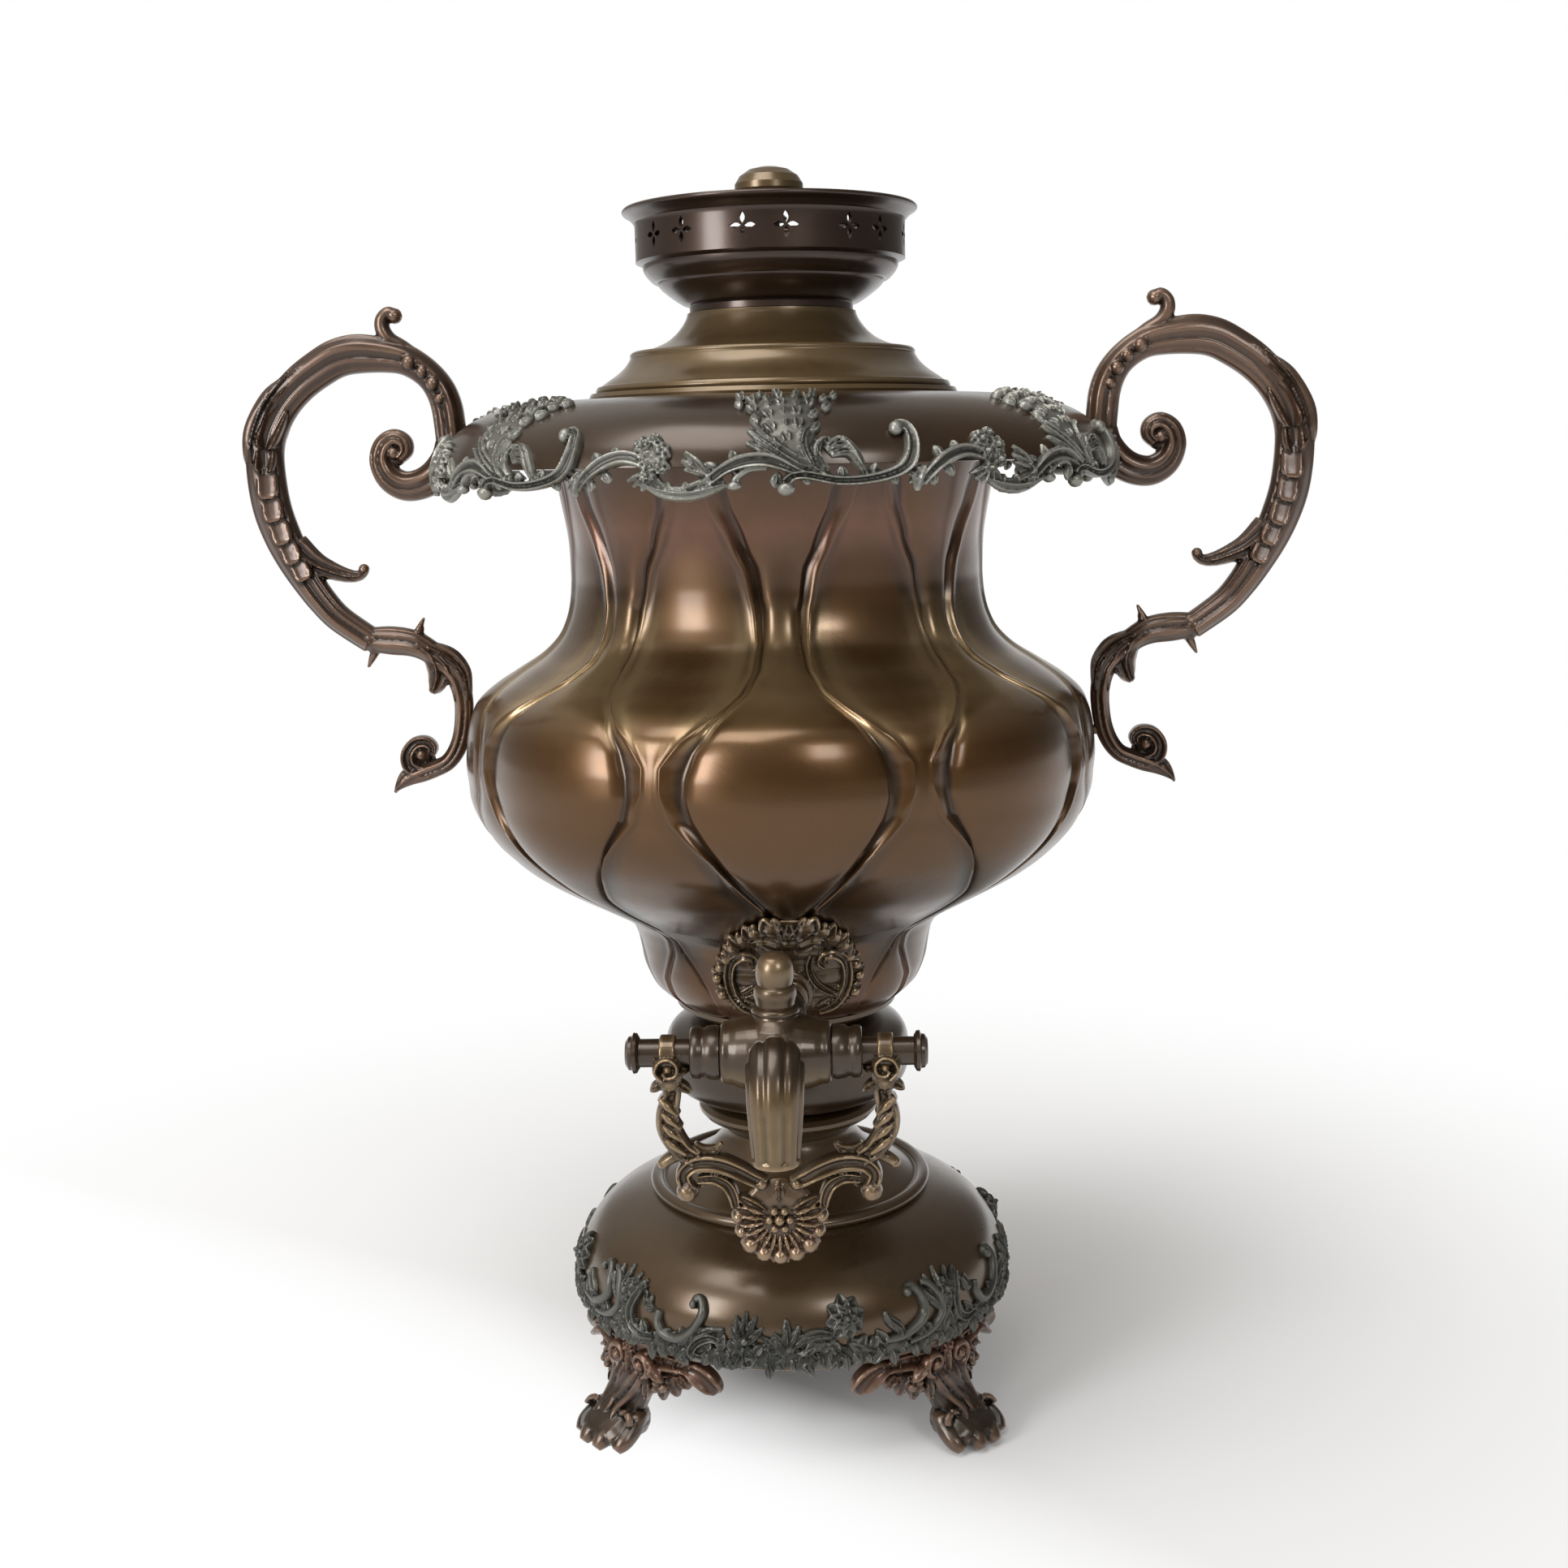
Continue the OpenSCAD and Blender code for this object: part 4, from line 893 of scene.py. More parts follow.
def brim_outline(rows=25, wall=0.0):
    """The quarter round of the brim from its rim to its top, or its inside."""
    r, top, drop = (v / MM for v in (sizes().brim_radius, sizes().brim_top, sizes().brim_drop))
    return [(BRIM_FLAT + (r - wall - BRIM_FLAT) * math.cos(a) ** BRIM_ROUND,
             top - drop + (drop - wall) * math.sin(a) ** BRIM_ROUND)
            for a in (math.pi / 2 * i / rows for i in range(rows + 1))]


def repeated(first, name, count, finish):
    """Sets copies of a casting round the axis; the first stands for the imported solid."""
    for i in range(count):
        obj = copied(first, f"{name}_{i + 1}", 360 * i / count)
        finish_piece(obj, "urn", finish, [] if i else [name])
    bpy.data.objects.remove(first)


def border_repeat():
    """One repeat of the rocaille border. Angles in degrees, distances up the brim's round."""
    radius = sizes().brim_radius / MM
    surface = on_turned(brim_outline(), radius)
    c = Casting(lambda x, y, h: surface(x, y - 5 + 2.8 * max(0, 1 - max(y, -2) / 9), h))
    k = radius / DEG

    def band(rows, section=ROUND):
        """A band along rows of angle, height, half width and rise."""
        c.sweep([(r[0] * k, r[1], r[2] * 1.18, *r[3:]) for r in rows], section)

    # long C scroll with its hanging ball and the ball in its eye
    band([(20.0, 20.2, 1.2, 2), (20.9, 22.6, 1.7, 2.6), (22.2, 21.4, 1.9, 3), (22.6, 17, 2.1, 3.4),
          (22.1, 11.4, 2.3, 3.6), (20.7, 7.1, 2.4, 3.6), (18.8, 4.4, 2.4, 3.4),
          (16.4, 2.6, 2.3, 3.2), (13.6, 1.6, 2.2, 3.2), (11, 1.8, 2.1, 3.2), (8.6, 3.4, 2, 3),
          (6.6, 4.7, 1.9, 3), (4.8, 4.2, 1.8, 3), (3.8, 1.6, 1.7, 3)], REED)
    c.ball(20.4 * k, 20.9, 2.5, 1.8, 2.4)
    c.ball(3.75 * k, -1.4, 3.1, 1.4, 2.9)
    # shell spray: three blades at its foot, then overlapping rows of petals
    for i, (a, v) in enumerate(((-1.9, 17.6), (-1.7, 22.4), (-1.3, 27))):
        band([(a, v, 0.7, 1.8), (1.0, 14.2 + 2.6 * i, 1.7, 2.6), (4.2, 9.4 + 2.2 * i, 1.9, 2.8),
              (7.4 + 0.7 * i, 5.6 + i, 1.2, 2.2)], BLADE)
    band([(5.6, 6, 3.4, 1.6), (4.2, 20, 8.6, 2.0), (3.8, 34, 9.4, 1.8), (3.7, 44, 6.6, 1.2)])
    fan = ((37, 6, 5), (32, 7, 5.4), (26, 6, 5.6), (20, 5, 5.6), (14, 4, 5.4), (8.5, 3, 5))
    for row, (reach, count, size) in enumerate(fan):
        for i in range(count):
            a = math.radians(63 + 62 * (i + 0.5 * (row % 2)) / max(count - 0.5, 1))
            x, y = 4.9 * k + 1.02 * reach * math.cos(a), 8 + reach * math.sin(a)
            c.drop(x, y, math.degrees(a) + (10 if i % 2 else -10), size, size * 0.36,
                   3.1 - 0.1 * row, 0.3, CUPPED if i % 2 else BLADE)
    # acanthus curls beside it
    band([(9.1, 24.4, 0.7, 1.6), (7.4, 22.4, 1.5, 2.8), (6.3, 18.2, 1.9, 3.3), (6.4, 13.4, 2, 3.4),
          (7.7, 8.4, 1.8, 3.2), (10.2, 3.6, 1.3, 2.6)], BLADE)
    band([(10.4, 18.6, 0.6, 1.4), (9.1, 17.4, 1.2, 2.6), (8.3, 14.4, 1.5, 3), (8.5, 11, 1.4, 3),
          (9.8, 7, 1.1, 2.4)], BLADE)
    # round ribbed leaf on the scroll's back
    for i in range(5):
        f = i / 4
        band([(9.4 + 0.9 * f, 14.6 - 2.2 * f, 0.8, 1.8),
              (11.6 + 1.2 * f, 17.4 - 4.4 * f, 1.5, 3.3),
              (13.4 + 0.9 * f, 14.2 - 4.6 * f, 1.7, 3.4),
              (14.6 + 0.5 * f, 9.4 - 3.4 * f, 1.5, 2.8),
              (15.4 + 0.3 * f, 6.4 - 2.6 * f, 0.7, 1.6)], BLADE)
    # pointed leaf and the arch that rises from it
    band([(23.1, -3.6, 0.7, 1.6), (23.2, 0.4, 2.2, 2.6), (23.6, 4.2, 2.9, 3), (24.4, 8, 1.6, 2.4)],
         BLADE)
    for v, a in ((1.6, -150), (4.6, -165), (7.4, 170)):
        c.drop(23.2 * k, v, a, 4, 1.4, 2.4)
    band([(23.7, -1, 1.2, 2.4), (24.6, 3.4, 1.9, 3), (26, 7.6, 2.1, 3.2), (28.1, 11, 2.1, 3.2),
          (30.8, 12.8, 2, 3.2), (33.2, 12.2, 1.9, 3), (35.4, 10, 1.6, 2.8)], REED)
    # flower cluster over the arch's end
    for a, v, r, t in ((34.2, 16.4, 3.8, 10), (37, 14.4, 4, 40), (34.8, 12.4, 3.4, 20),
                       (37, 9.6, 3.8, 0), (35.2, 6.2, 3.6, 30), (36, 18.4, 2.9, 15)):
        c.flower(a * k, v, r, 6, 3.6, t)
    c.ball(35.8 * k, 12, 5.4, 0, 2.4)
    # leaf under the cluster
    for a, v in ((31.9, 3.4), (32.9, 0.4), (34.3, -1.7), (36.1, -2), (37.9, -0.8)):
        band([(35.2, 8, 1.2, 2.2), ((35.2 + a) / 2, (8 + v) / 2 - 0.4, 1.6, 2.8),
              (a, v, 0.7, 1.4)], BLADE)
    # leaf bundle at the foot of the second arch
    for i, (a, v) in enumerate(((40.6, 14.4), (40.2, 11.6), (40.6, 8.6), (39.8, -1.6), (41.2, -3.6),
                                (43, -3.6), (44.6, -2))):
        band([(44.6, 4.4, 1.4, 2.4),
              ((44.6 + a) / 2, (4.4 + v) / 2 + (0.8 if i < 3 else -0.5), 1.7, 3),
              (a, v, 0.7, 1.3)], BLADE)
    band([(41.4, -1.6, 1, 2.2), (43.4, 0.8, 1.7, 2.8), (45, 4.6, 2, 3.2), (46.6, 8, 2.1, 3.3),
          (49, 10.4, 2.2, 3.4), (51.9, 11, 2.2, 3.4), (54.3, 9.6, 2, 3.2), (56.8, 6.4, 1.6, 2.8)],
         REED)
    band([(52.6, 8, 0.9, 2.2), (50, 7.6, 1.4, 2.6), (48.4, 4.6, 1.5, 2.6), (47.9, 2, 1.4, 2.4)])
    c.ball(47.9 * k, 0.2, 2.6, 1.2, 2.4)
    # leafy ground between the scrolls
    band([(34.6, 1.6, 1.4, 2.2), (37.4, -1.4, 2.6, 2.6), (40.6, -2.4, 2.8, 2.8),
          (43.6, -1.4, 2.6, 2.8), (46.6, 1.4, 2, 2.4)], BLADE)
    for a, v, angle, size in ((2.6, 6.4, -96, 8), (6.4, 6.6, -80, 7), (18.6, 6, -66, 7.6),
                              (38.2, 3, -100, 8), (40.8, 2.6, -84, 8), (43.4, 3.4, -96, 8),
                              (25.6, 5, -88, 7), (28, 8.4, -70, 6.6), (48.4, 8.4, 110, 7),
                              (51.4, 10, 74, 6.4), (12, 2.8, 96, 6), (16, 3.6, 70, 6.4),
                              (9.6, 4, 110, 6), (30, 11.6, 100, 5.6), (27.4, 10.4, 122, 5.6),
                              (45.6, 7, 140, 6), (54, 9, 50, 6)):
        c.drop(a * k, v, angle, size, 2.3, 2.4, -0.2)
    return c


class SAMOVAR_OT_brim_border(bpy.types.Operator):
    """Casts one repeat of the rocaille border and sets it round the brim"""

    bl_idname = "samovar.brim_border"
    bl_label = "Brim border"

    def execute(self, context):
        first = border_repeat().cast("border_repeat", sizes().grain / MM)
        repeated(first, "brim_border", sizes().border_repeats, "pewter_border")
        return {"FINISHED"}


# ---------- base apron ----------

# the outside of the base: height, and distance out from its rim
BASE_WALL = [(42, 0.9), (46, 1), (52, 0.6), (58, 0.2), (66, -1.6), (72.5, -5.2), (78.5, -10.6),
             (84, -17.6)]
# millimetres to a degree round the base
APRON_SPREAD = 1.658


def apron_quarter():
    """The border of the base from foot to foot. Angles in degrees from its middle, heights."""
    radius = sizes().base_radius / MM
    c = Casting(on_wall([(z, radius + out) for z, out in BASE_WALL], radius))
    k = APRON_SPREAD

    def band(rows, section=ROUND, steps=5):
        """A band along rows of angle, height, half width and rise."""
        c.sweep([(r[0] * k, r[1], r[2] * 1.3, *r[3:]) for r in rows], section, steps)

    def tips(root, ends, w):
        """Leaflets that fan out from one root to their ends, w in half width."""
        rise = 2.8
        for a, z in ends:
            band([(*root, w * 0.8, rise * 0.8), ((root[0] + a) / 2, (root[1] + z) / 2, w, rise),
                  (a, z, w * 0.35, rise * 0.5)], BLADE, 3)

    # hook scroll and the upright scroll beside it
    band([(-22.4, 67.6, 1, 2), (-22.6, 69.8, 1.3, 2.4), (-20.9, 69.8, 1.5, 2.6),
          (-20.1, 65.4, 1.6, 2.8), (-22.4, 58.6, 1.7, 3), (-26.4, 54.4, 1.8, 3),
          (-30.2, 55, 1.7, 3), (-32, 59, 1.6, 2.8), (-31.9, 63.4, 1.3, 2.4)])
    c.ball(-22.6 * k, 68.2, 1.7, 1.4, 2)
    band([(-37.6, 70.4, 0.9, 2), (-39.6, 66, 1.4, 2.6), (-40.9, 60.6, 1.6, 3), (-40.2, 55, 1.7, 3),
          (-37.2, 52, 1.6, 2.8), (-33.4, 52.6, 1.2, 2.4)], REED)
    # flower and leaves over the foot
    c.flower(-43.4 * k, 66, 5.2, 7, 3.4, 12)
    tips((-45.4, 60), ((-50.6, 69.4), (-48.2, 73.4), (-44.6, 74.8), (-40.6, 73.4), (-37.8, 72)),
         1.9)
    tips((-43.6, 59), ((-48, 51), (-45, 49), (-41.6, 50.6)), 1.7)
    tips((-35.6, 62), ((-37.2, 68.6), (-34.8, 67.8), (-33.6, 64)), 1.4)
    # crescent leaf over a swirl of plumes
    band([(-26, 51.4, 0.8, 2), (-22.8, 55.2, 1.6, 2.8), (-19, 59, 1.8, 3), (-14.4, 60.6, 0.8, 2)],
         BLADE)
    band([(-14, 55.4, 0.8, 2), (-17.6, 57.2, 1.5, 2.8), (-21, 54.4, 1.6, 3),
          (-22.4, 50.2, 1.5, 2.8), (-20.2, 48.6, 1.2, 2.4), (-18.4, 50.8, 1, 2)], REED)
    # spray of leaflets
    tips((-9.8, 55.6), ((-13, 62.6), (-11.6, 66.6), (-9.2, 68.2), (-6.8, 66.8), (-5, 62.6),
                        (-12.4, 58.4)), 1.7)
    c.ball(-9.2 * k, 57.6, 1.8, 1.6, 2)
    # drips under it, one of them curled
    tips((-9.4, 55), ((-13.8, 49.4), (-12.6, 45.2), (-10.2, 46.6), (-6.4, 51)), 1.6)
    c.sweep(spiral(-8.4 * k, 49.4, 2.6, 0.9, 150, 380, 1, 0.8, 2.4, 9))
    # pointed leaf between fingers
    tips((1, 53.6), ((0.4, 66), (-2.6, 60.6), (3.6, 63.4)), 2)
    tips((-1, 54.4), ((-5.6, 59.6), (-5, 54.4), (-4.2, 50.4), (-1.4, 48.2)), 1.5)
    # long leaves that lead to the rosette
    band([(1.4, 54.2, 0.9, 2), (4.6, 58.6, 1.8, 2.8), (8.4, 60, 1.9, 3), (12.4, 58.6, 0.9, 2)],
         BLADE)
    band([(3.2, 52, 0.9, 2), (6.6, 54.8, 1.6, 2.6), (10.2, 55.2, 1.6, 2.6), (14.4, 53, 0.8, 2)],
         BLADE)
    tips((4.8, 53.6), ((5.6, 46.6), (3, 48.4), (8, 48.6)), 1.4)
    tips((11.2, 53.6), ((12.4, 45.6), (10, 47.4), (14.8, 48.4)), 1.4)
    # rosette
    c.flower(14.6 * k, 65, 8.2, 8, 3.8, 10)
    c.flower(14.6 * k, 65, 4.6, 6, 5, 40)
    # lily, and the double C scroll with its leaf
    tips((15.6, 56), ((19.8, 53.4), (22.4, 50.4), (18.4, 49.8)), 1.8)
    band([(24.6, 65, 0.8, 2), (25.4, 61.6, 1.7, 2.8), (27.8, 57.8, 2, 3), (29, 53.8, 1, 2)], BLADE)
    band([(31, 69, 1, 2), (32.8, 71.4, 1.3, 2.4), (35, 67.6, 1.5, 2.8), (35.6, 61.4, 1.7, 3),
          (33.2, 57.2, 1.7, 3), (28.8, 54.4, 1.6, 2.8), (24, 54.2, 1.2, 2.4)])
    c.ball(31.4 * k, 69.4, 1.7, 1.4, 2)
    band([(36, 71.4, 0.9, 2), (38.2, 70, 1.3, 2.6), (40.2, 65.6, 1.5, 2.8), (40.8, 60, 1.6, 2.8),
          (38.8, 55.4, 1.6, 2.8), (35, 52.4, 1.4, 2.6), (30.4, 51.2, 1.1, 2.2)])
    tips((42.6, 58), ((44.6, 63.4), (43.4, 69.6), (41.6, 72)), 1.6)
    # leafy ground along the rim, its lower tips hanging free
    band([(a, 50.4 + 0.8 * math.sin(a * 0.5), 2.6, 0.8) for a in range(-46, 46, 6)], ROUND, 3)
    for i in range(47):
        a = -46 + 2 * i
        lean, size = 44 * math.sin(2.1 * i), 6 + 1.8 * math.sin(1.3 * i)
        c.drop(a * k, 50.8 + 1.4 * math.sin(1.7 * i), -90 + lean, size, 2.3, 2.4, 0)
        if i % 2:
            c.drop((a + 0.8) * k, 52.4, 84 - lean, size, 2.2, 2.2, 0, CUPPED)
    return c


class SAMOVAR_OT_base_apron(bpy.types.Operator):
    """Casts a quarter of the scroll-and-leaf band and sets four round the base"""

    bl_idname = "samovar.base_apron"
    bl_label = "Base apron"

    def execute(self, context):
        first = apron_quarter().cast("apron_quarter", sizes().grain / MM)
        repeated(first, "base_apron", 4, "pewter_apron")
        return {"FINISHED"}


# ---------- feet ----------

# radius of the surface the foot is drawn on, radius of the base it is drawn for, height of the
# rim's underside and of the foot's flat top, and how the paw leans: how far, from which height
# down, and over what height
SHIN, FOOT_RIM, UNDER_RIM, FOOT_TOP = 88.5, 0.095, 44.8, 46.5
LEAN, LEAN_FROM, LEAN_SPAN = 8, 34, 26


def foot_casting():
    """One paw foot, standing in front of the axis."""
    c = Casting(on_wall([(0, SHIN), (60, SHIN)], SHIN))
    # heel, sole and shin
    c.limb([(0, -83, 5.6, 5.5, 4.4), (0, -88, 7, 11, 7.6), (0, -96, 8.4, 13.4, 8.2),
            (0, -103, 7, 13.6, 6), (0, -107, 5, 10.5, 3.8)])
    c.limb([(0, -94, 8, 11.6, 8), (0, -92, 15, 10.4, 8), (0, -89, 23, 9.6, 7.6),
            (0, -86.8, 31, 11.4, 7.4), (0, -86.6, 39, 14.4, 7.2), (0, -86.8, UNDER_RIM, 15, 6.4)])
    # toes, the outer ones further back
    for v in (-11.4, -3.9, 3.7, 11):
        back = abs(v) * 0.55
        c.limb([(v * 0.66, -90, 10, 4, 4.4), (v * 0.88, -97 + back * 0.4, 11.4, 4.6, 4.4),
                (v, -104 + back, 8.6, 4.7, 4.4), (v * 1.06, -109.4 + back, 5, 4.2, 3.8),
                (v * 1.06, -112.6 + back, 2.6, 2.2, 2)], k=4)
    # scroll on the instep
    for side in (-1, 1):
        rows = [(side * 9 + side * (5 - 0.36 * i) * math.cos(0.6 * i), -101 + 0.25 * i,
                 12.4 + (5 - 0.36 * i) * math.sin(0.6 * i), 1.5, 1.5) for i in range(11)]
        c.limb(rows, k=2, n=8)
    # long leaves that twist down the shin
    for v, lean, w in ((-8.4, 5, 2.4), (-4.2, 7, 2.8), (0.6, 5, 3), (5, -4, 2.6), (8.8, -3, 2.2)):
        c.limb([(v * 0.9, -91, 37, w * 0.7, 1.4), (v + lean * 0.2, -94.4, 30, w, 2.2),
                (v + lean * 0.6, -96, 23, w, 2.2), (v + lean, -100, 16, w * 0.8, 1.9),
                (v + lean * 0.8, -103, 12.4, w * 0.4, 1.2)], k=4, n=8)
    # volutes and leaves of the knee
    knee = Casting(on_plane(-92.6))
    for side in (-1, 1):
        rows = spiral(7, 36.8, 5.4, 1.4, -70, 420, 1.9, 1.2, 3.8)
        knee.sweep(rows if side > 0 else mirrored(rows), ROUND, 4)
        knee.ball(side * 7, 36.8, 2, 2.8, 2.2)
        knee.drop(side * 3.4, 32, -90 - side * 16, 13, 2.6, 4.4)
        knee.drop(side * 10, 32, -90 + side * 10, 11, 2.6, 4)
        knee.drop(side * 11.6, 38, 90 - side * 130, 9, 2.4, 4.4)
    knee.drop(0, 44, -90, 17, 3, 4.8)
    knee.flower(0, 42.4, 3.8, 6, 4.6, 0)
    c.add(knee)
    # acanthus wings along the rim, ending in a blunt turned-down leaf
    for side in (-1, 1):
        def wing(rows, section=REED):
            c.sweep([(side * r[0], *r[1:]) for r in rows], section)

        wing([(5, 38, 4.4, 6), (12, 39.6, 4.8, 6.2), (20, 40.6, 4, 6), (26, 40.6, 3.4, 5.8),
              (31, 39.4, 3.4, 5.8)])
        wing([(26, 40.4, 2.2, 4.6, 1), (30.4, 39.8, 4.4, 5.6, 1), (34.8, 37.4, 5, 5.6, 1),
              (38.2, 34, 4.2, 4.6, 1), (40, 31.6, 2, 2.6, 1)], CUPPED)
        wing([(10, 34.6, 2.4, 5), (16, 34.4, 2.8, 5.4), (21, 35, 2.2, 5), (25, 35.4, 1, 3)], BLADE)
        for x, z, a, size in ((8, 33, -88, 12), (12.6, 33.4, -70, 13), (17, 34.4, -58, 11),
                              (21.6, 35.8, -46, 8)):
            c.drop(side * x, z, a if side > 0 else 180 - a, size, 3, 4.8, 0.6)
        for i in range(3):
            c.ball(side * (14.6 + 3 * (i % 2)), 31.4 - 2.8 * (i // 2) - 1.4 * (i % 2), 2, 6, 2)
        for x, a in ((9, 96), (15, 74), (21, 60), (27, 44)):
            c.drop(side * x, 39, a if side > 0 else 180 - a, 6, 2.3, 4.8, 0.8)
    return c


class SAMOVAR_OT_feet(bpy.types.Operator):
    """Casts one paw foot with its acanthus knee and sets four under the base"""

    bl_idname = "samovar.feet"
    bl_label = "Feet"

    def execute(self, context):
        first = foot_casting().cast("foot", sizes().grain / MM * 1.05, floor=0)
        co = coords(first)
        co[:, 1] += FOOT_RIM - sizes().base_radius
        co[:, 2] = np.minimum(co[:, 2], FOOT_TOP * MM)
        # the paws lean towards the sides of the samovar
        low = np.clip((LEAN_FROM * MM - co[:, 2]) / (LEAN_SPAN * MM), 0, 1)
        co[:, 0] += LEAN * MM * low * low * (3 - 2 * low)
        set_coords(first, co)
        for name, turn, flip in (("foot_front_right", 45, False), ("foot_back_right", 135, True),
                                 ("foot_back_left", 225, False), ("foot_front_left", 315, True)):
            o = copied(first, "paw_" + name, turn, flip)
            finish_piece(o, "urn", "cast_feet", [name])
        bpy.data.objects.remove(first)
        return {"FINISHED"}


# ---------- handles ----------

# the scrolls of the right handle as rows of x, height and half width
HANDLE_ARC = [(131.2, 404.2, 6.2), (131.6, 411, 6.3), (132.4, 418, 6.3), (134.6, 424.6, 6.1),
              (138.6, 430.4, 5.8), (144.9, 435.4, 6), (152.3, 438.4, 6.6), (165.6, 439.9, 7.7),
              (175.3, 438.6, 7.7), (183.9, 434.2, 7.5), (192.2, 428.3, 7.3), (199.4, 420.7, 7.1),
              (205, 411.6, 7.3), (207.8, 402.5, 7.6), (208.1, 391.9, 7.8), (206.6, 379.1, 7.8),
              (203.3, 368.2, 7.6), (198.9, 358.2, 7.1), (193.1, 348, 6.4), (187.6, 340, 5.9),
              (181, 332.8, 5.6), (168.4, 323.8, 5.3)]
HANDLE_S = [(169.4, 324.4, 5), (160.4, 323.8, 5.9), (151.9, 322.6, 5.6), (145.3, 319.4, 4.9),
            (139.1, 314.2, 4.7), (134, 308.3, 4.5), (131.9, 301.1, 4), (131.6, 293.8, 3.8),
            (132.9, 284.4, 3.7), (135.6, 277.4, 3.6), (139.5, 272.5, 3.5), (144.5, 270, 3.6),
            (150.1, 268, 3.7), (155.1, 266, 3), (159.3, 263.2, 1.7), (162.4, 260.4, 0.5)]
HANDLE_VOLUTE = [(131.6, 403.1, 6.2), (133.4, 397.2, 6.4), (138.4, 391, 6.4), (144.6, 387.5, 6.2),
                 (151.4, 386.9, 6), (157.3, 390.4, 5.6), (160.2, 396.8, 5), (158.8, 402.8, 4.6),
                 (154.6, 405.9, 4), (150.6, 404.4, 3.4), (150, 400.8, 2.8), (152.6, 397.8, 2.2)]
TOP_CURL = [(138.6, 433, 1.6), (143.4, 438.2, 2.3), (149, 442, 2.9), (154.2, 445, 3.2),
            (156.8, 449, 3.1), (156.8, 453, 2.9), (154.4, 455.6, 2.6), (152.2, 455.2, 2.3)]
FOOT_CURL = [(147, 268.6, 2.4), (151.4, 268.8, 3), (155.4, 271.3, 3.2), (156, 276.2, 3),
             (152.8, 280.6, 2.7), (148.2, 281.3, 2.4), (145.4, 278.7, 2), (146.4, 275.6, 1.6)]
INNER_LEAF = [(198, 363, 6.4), (190.4, 356.4, 5), (183, 352.8, 3.8), (176.6, 350.8, 2.9),
              (172.2, 350.8, 2.2), (169.6, 353, 1.9)]


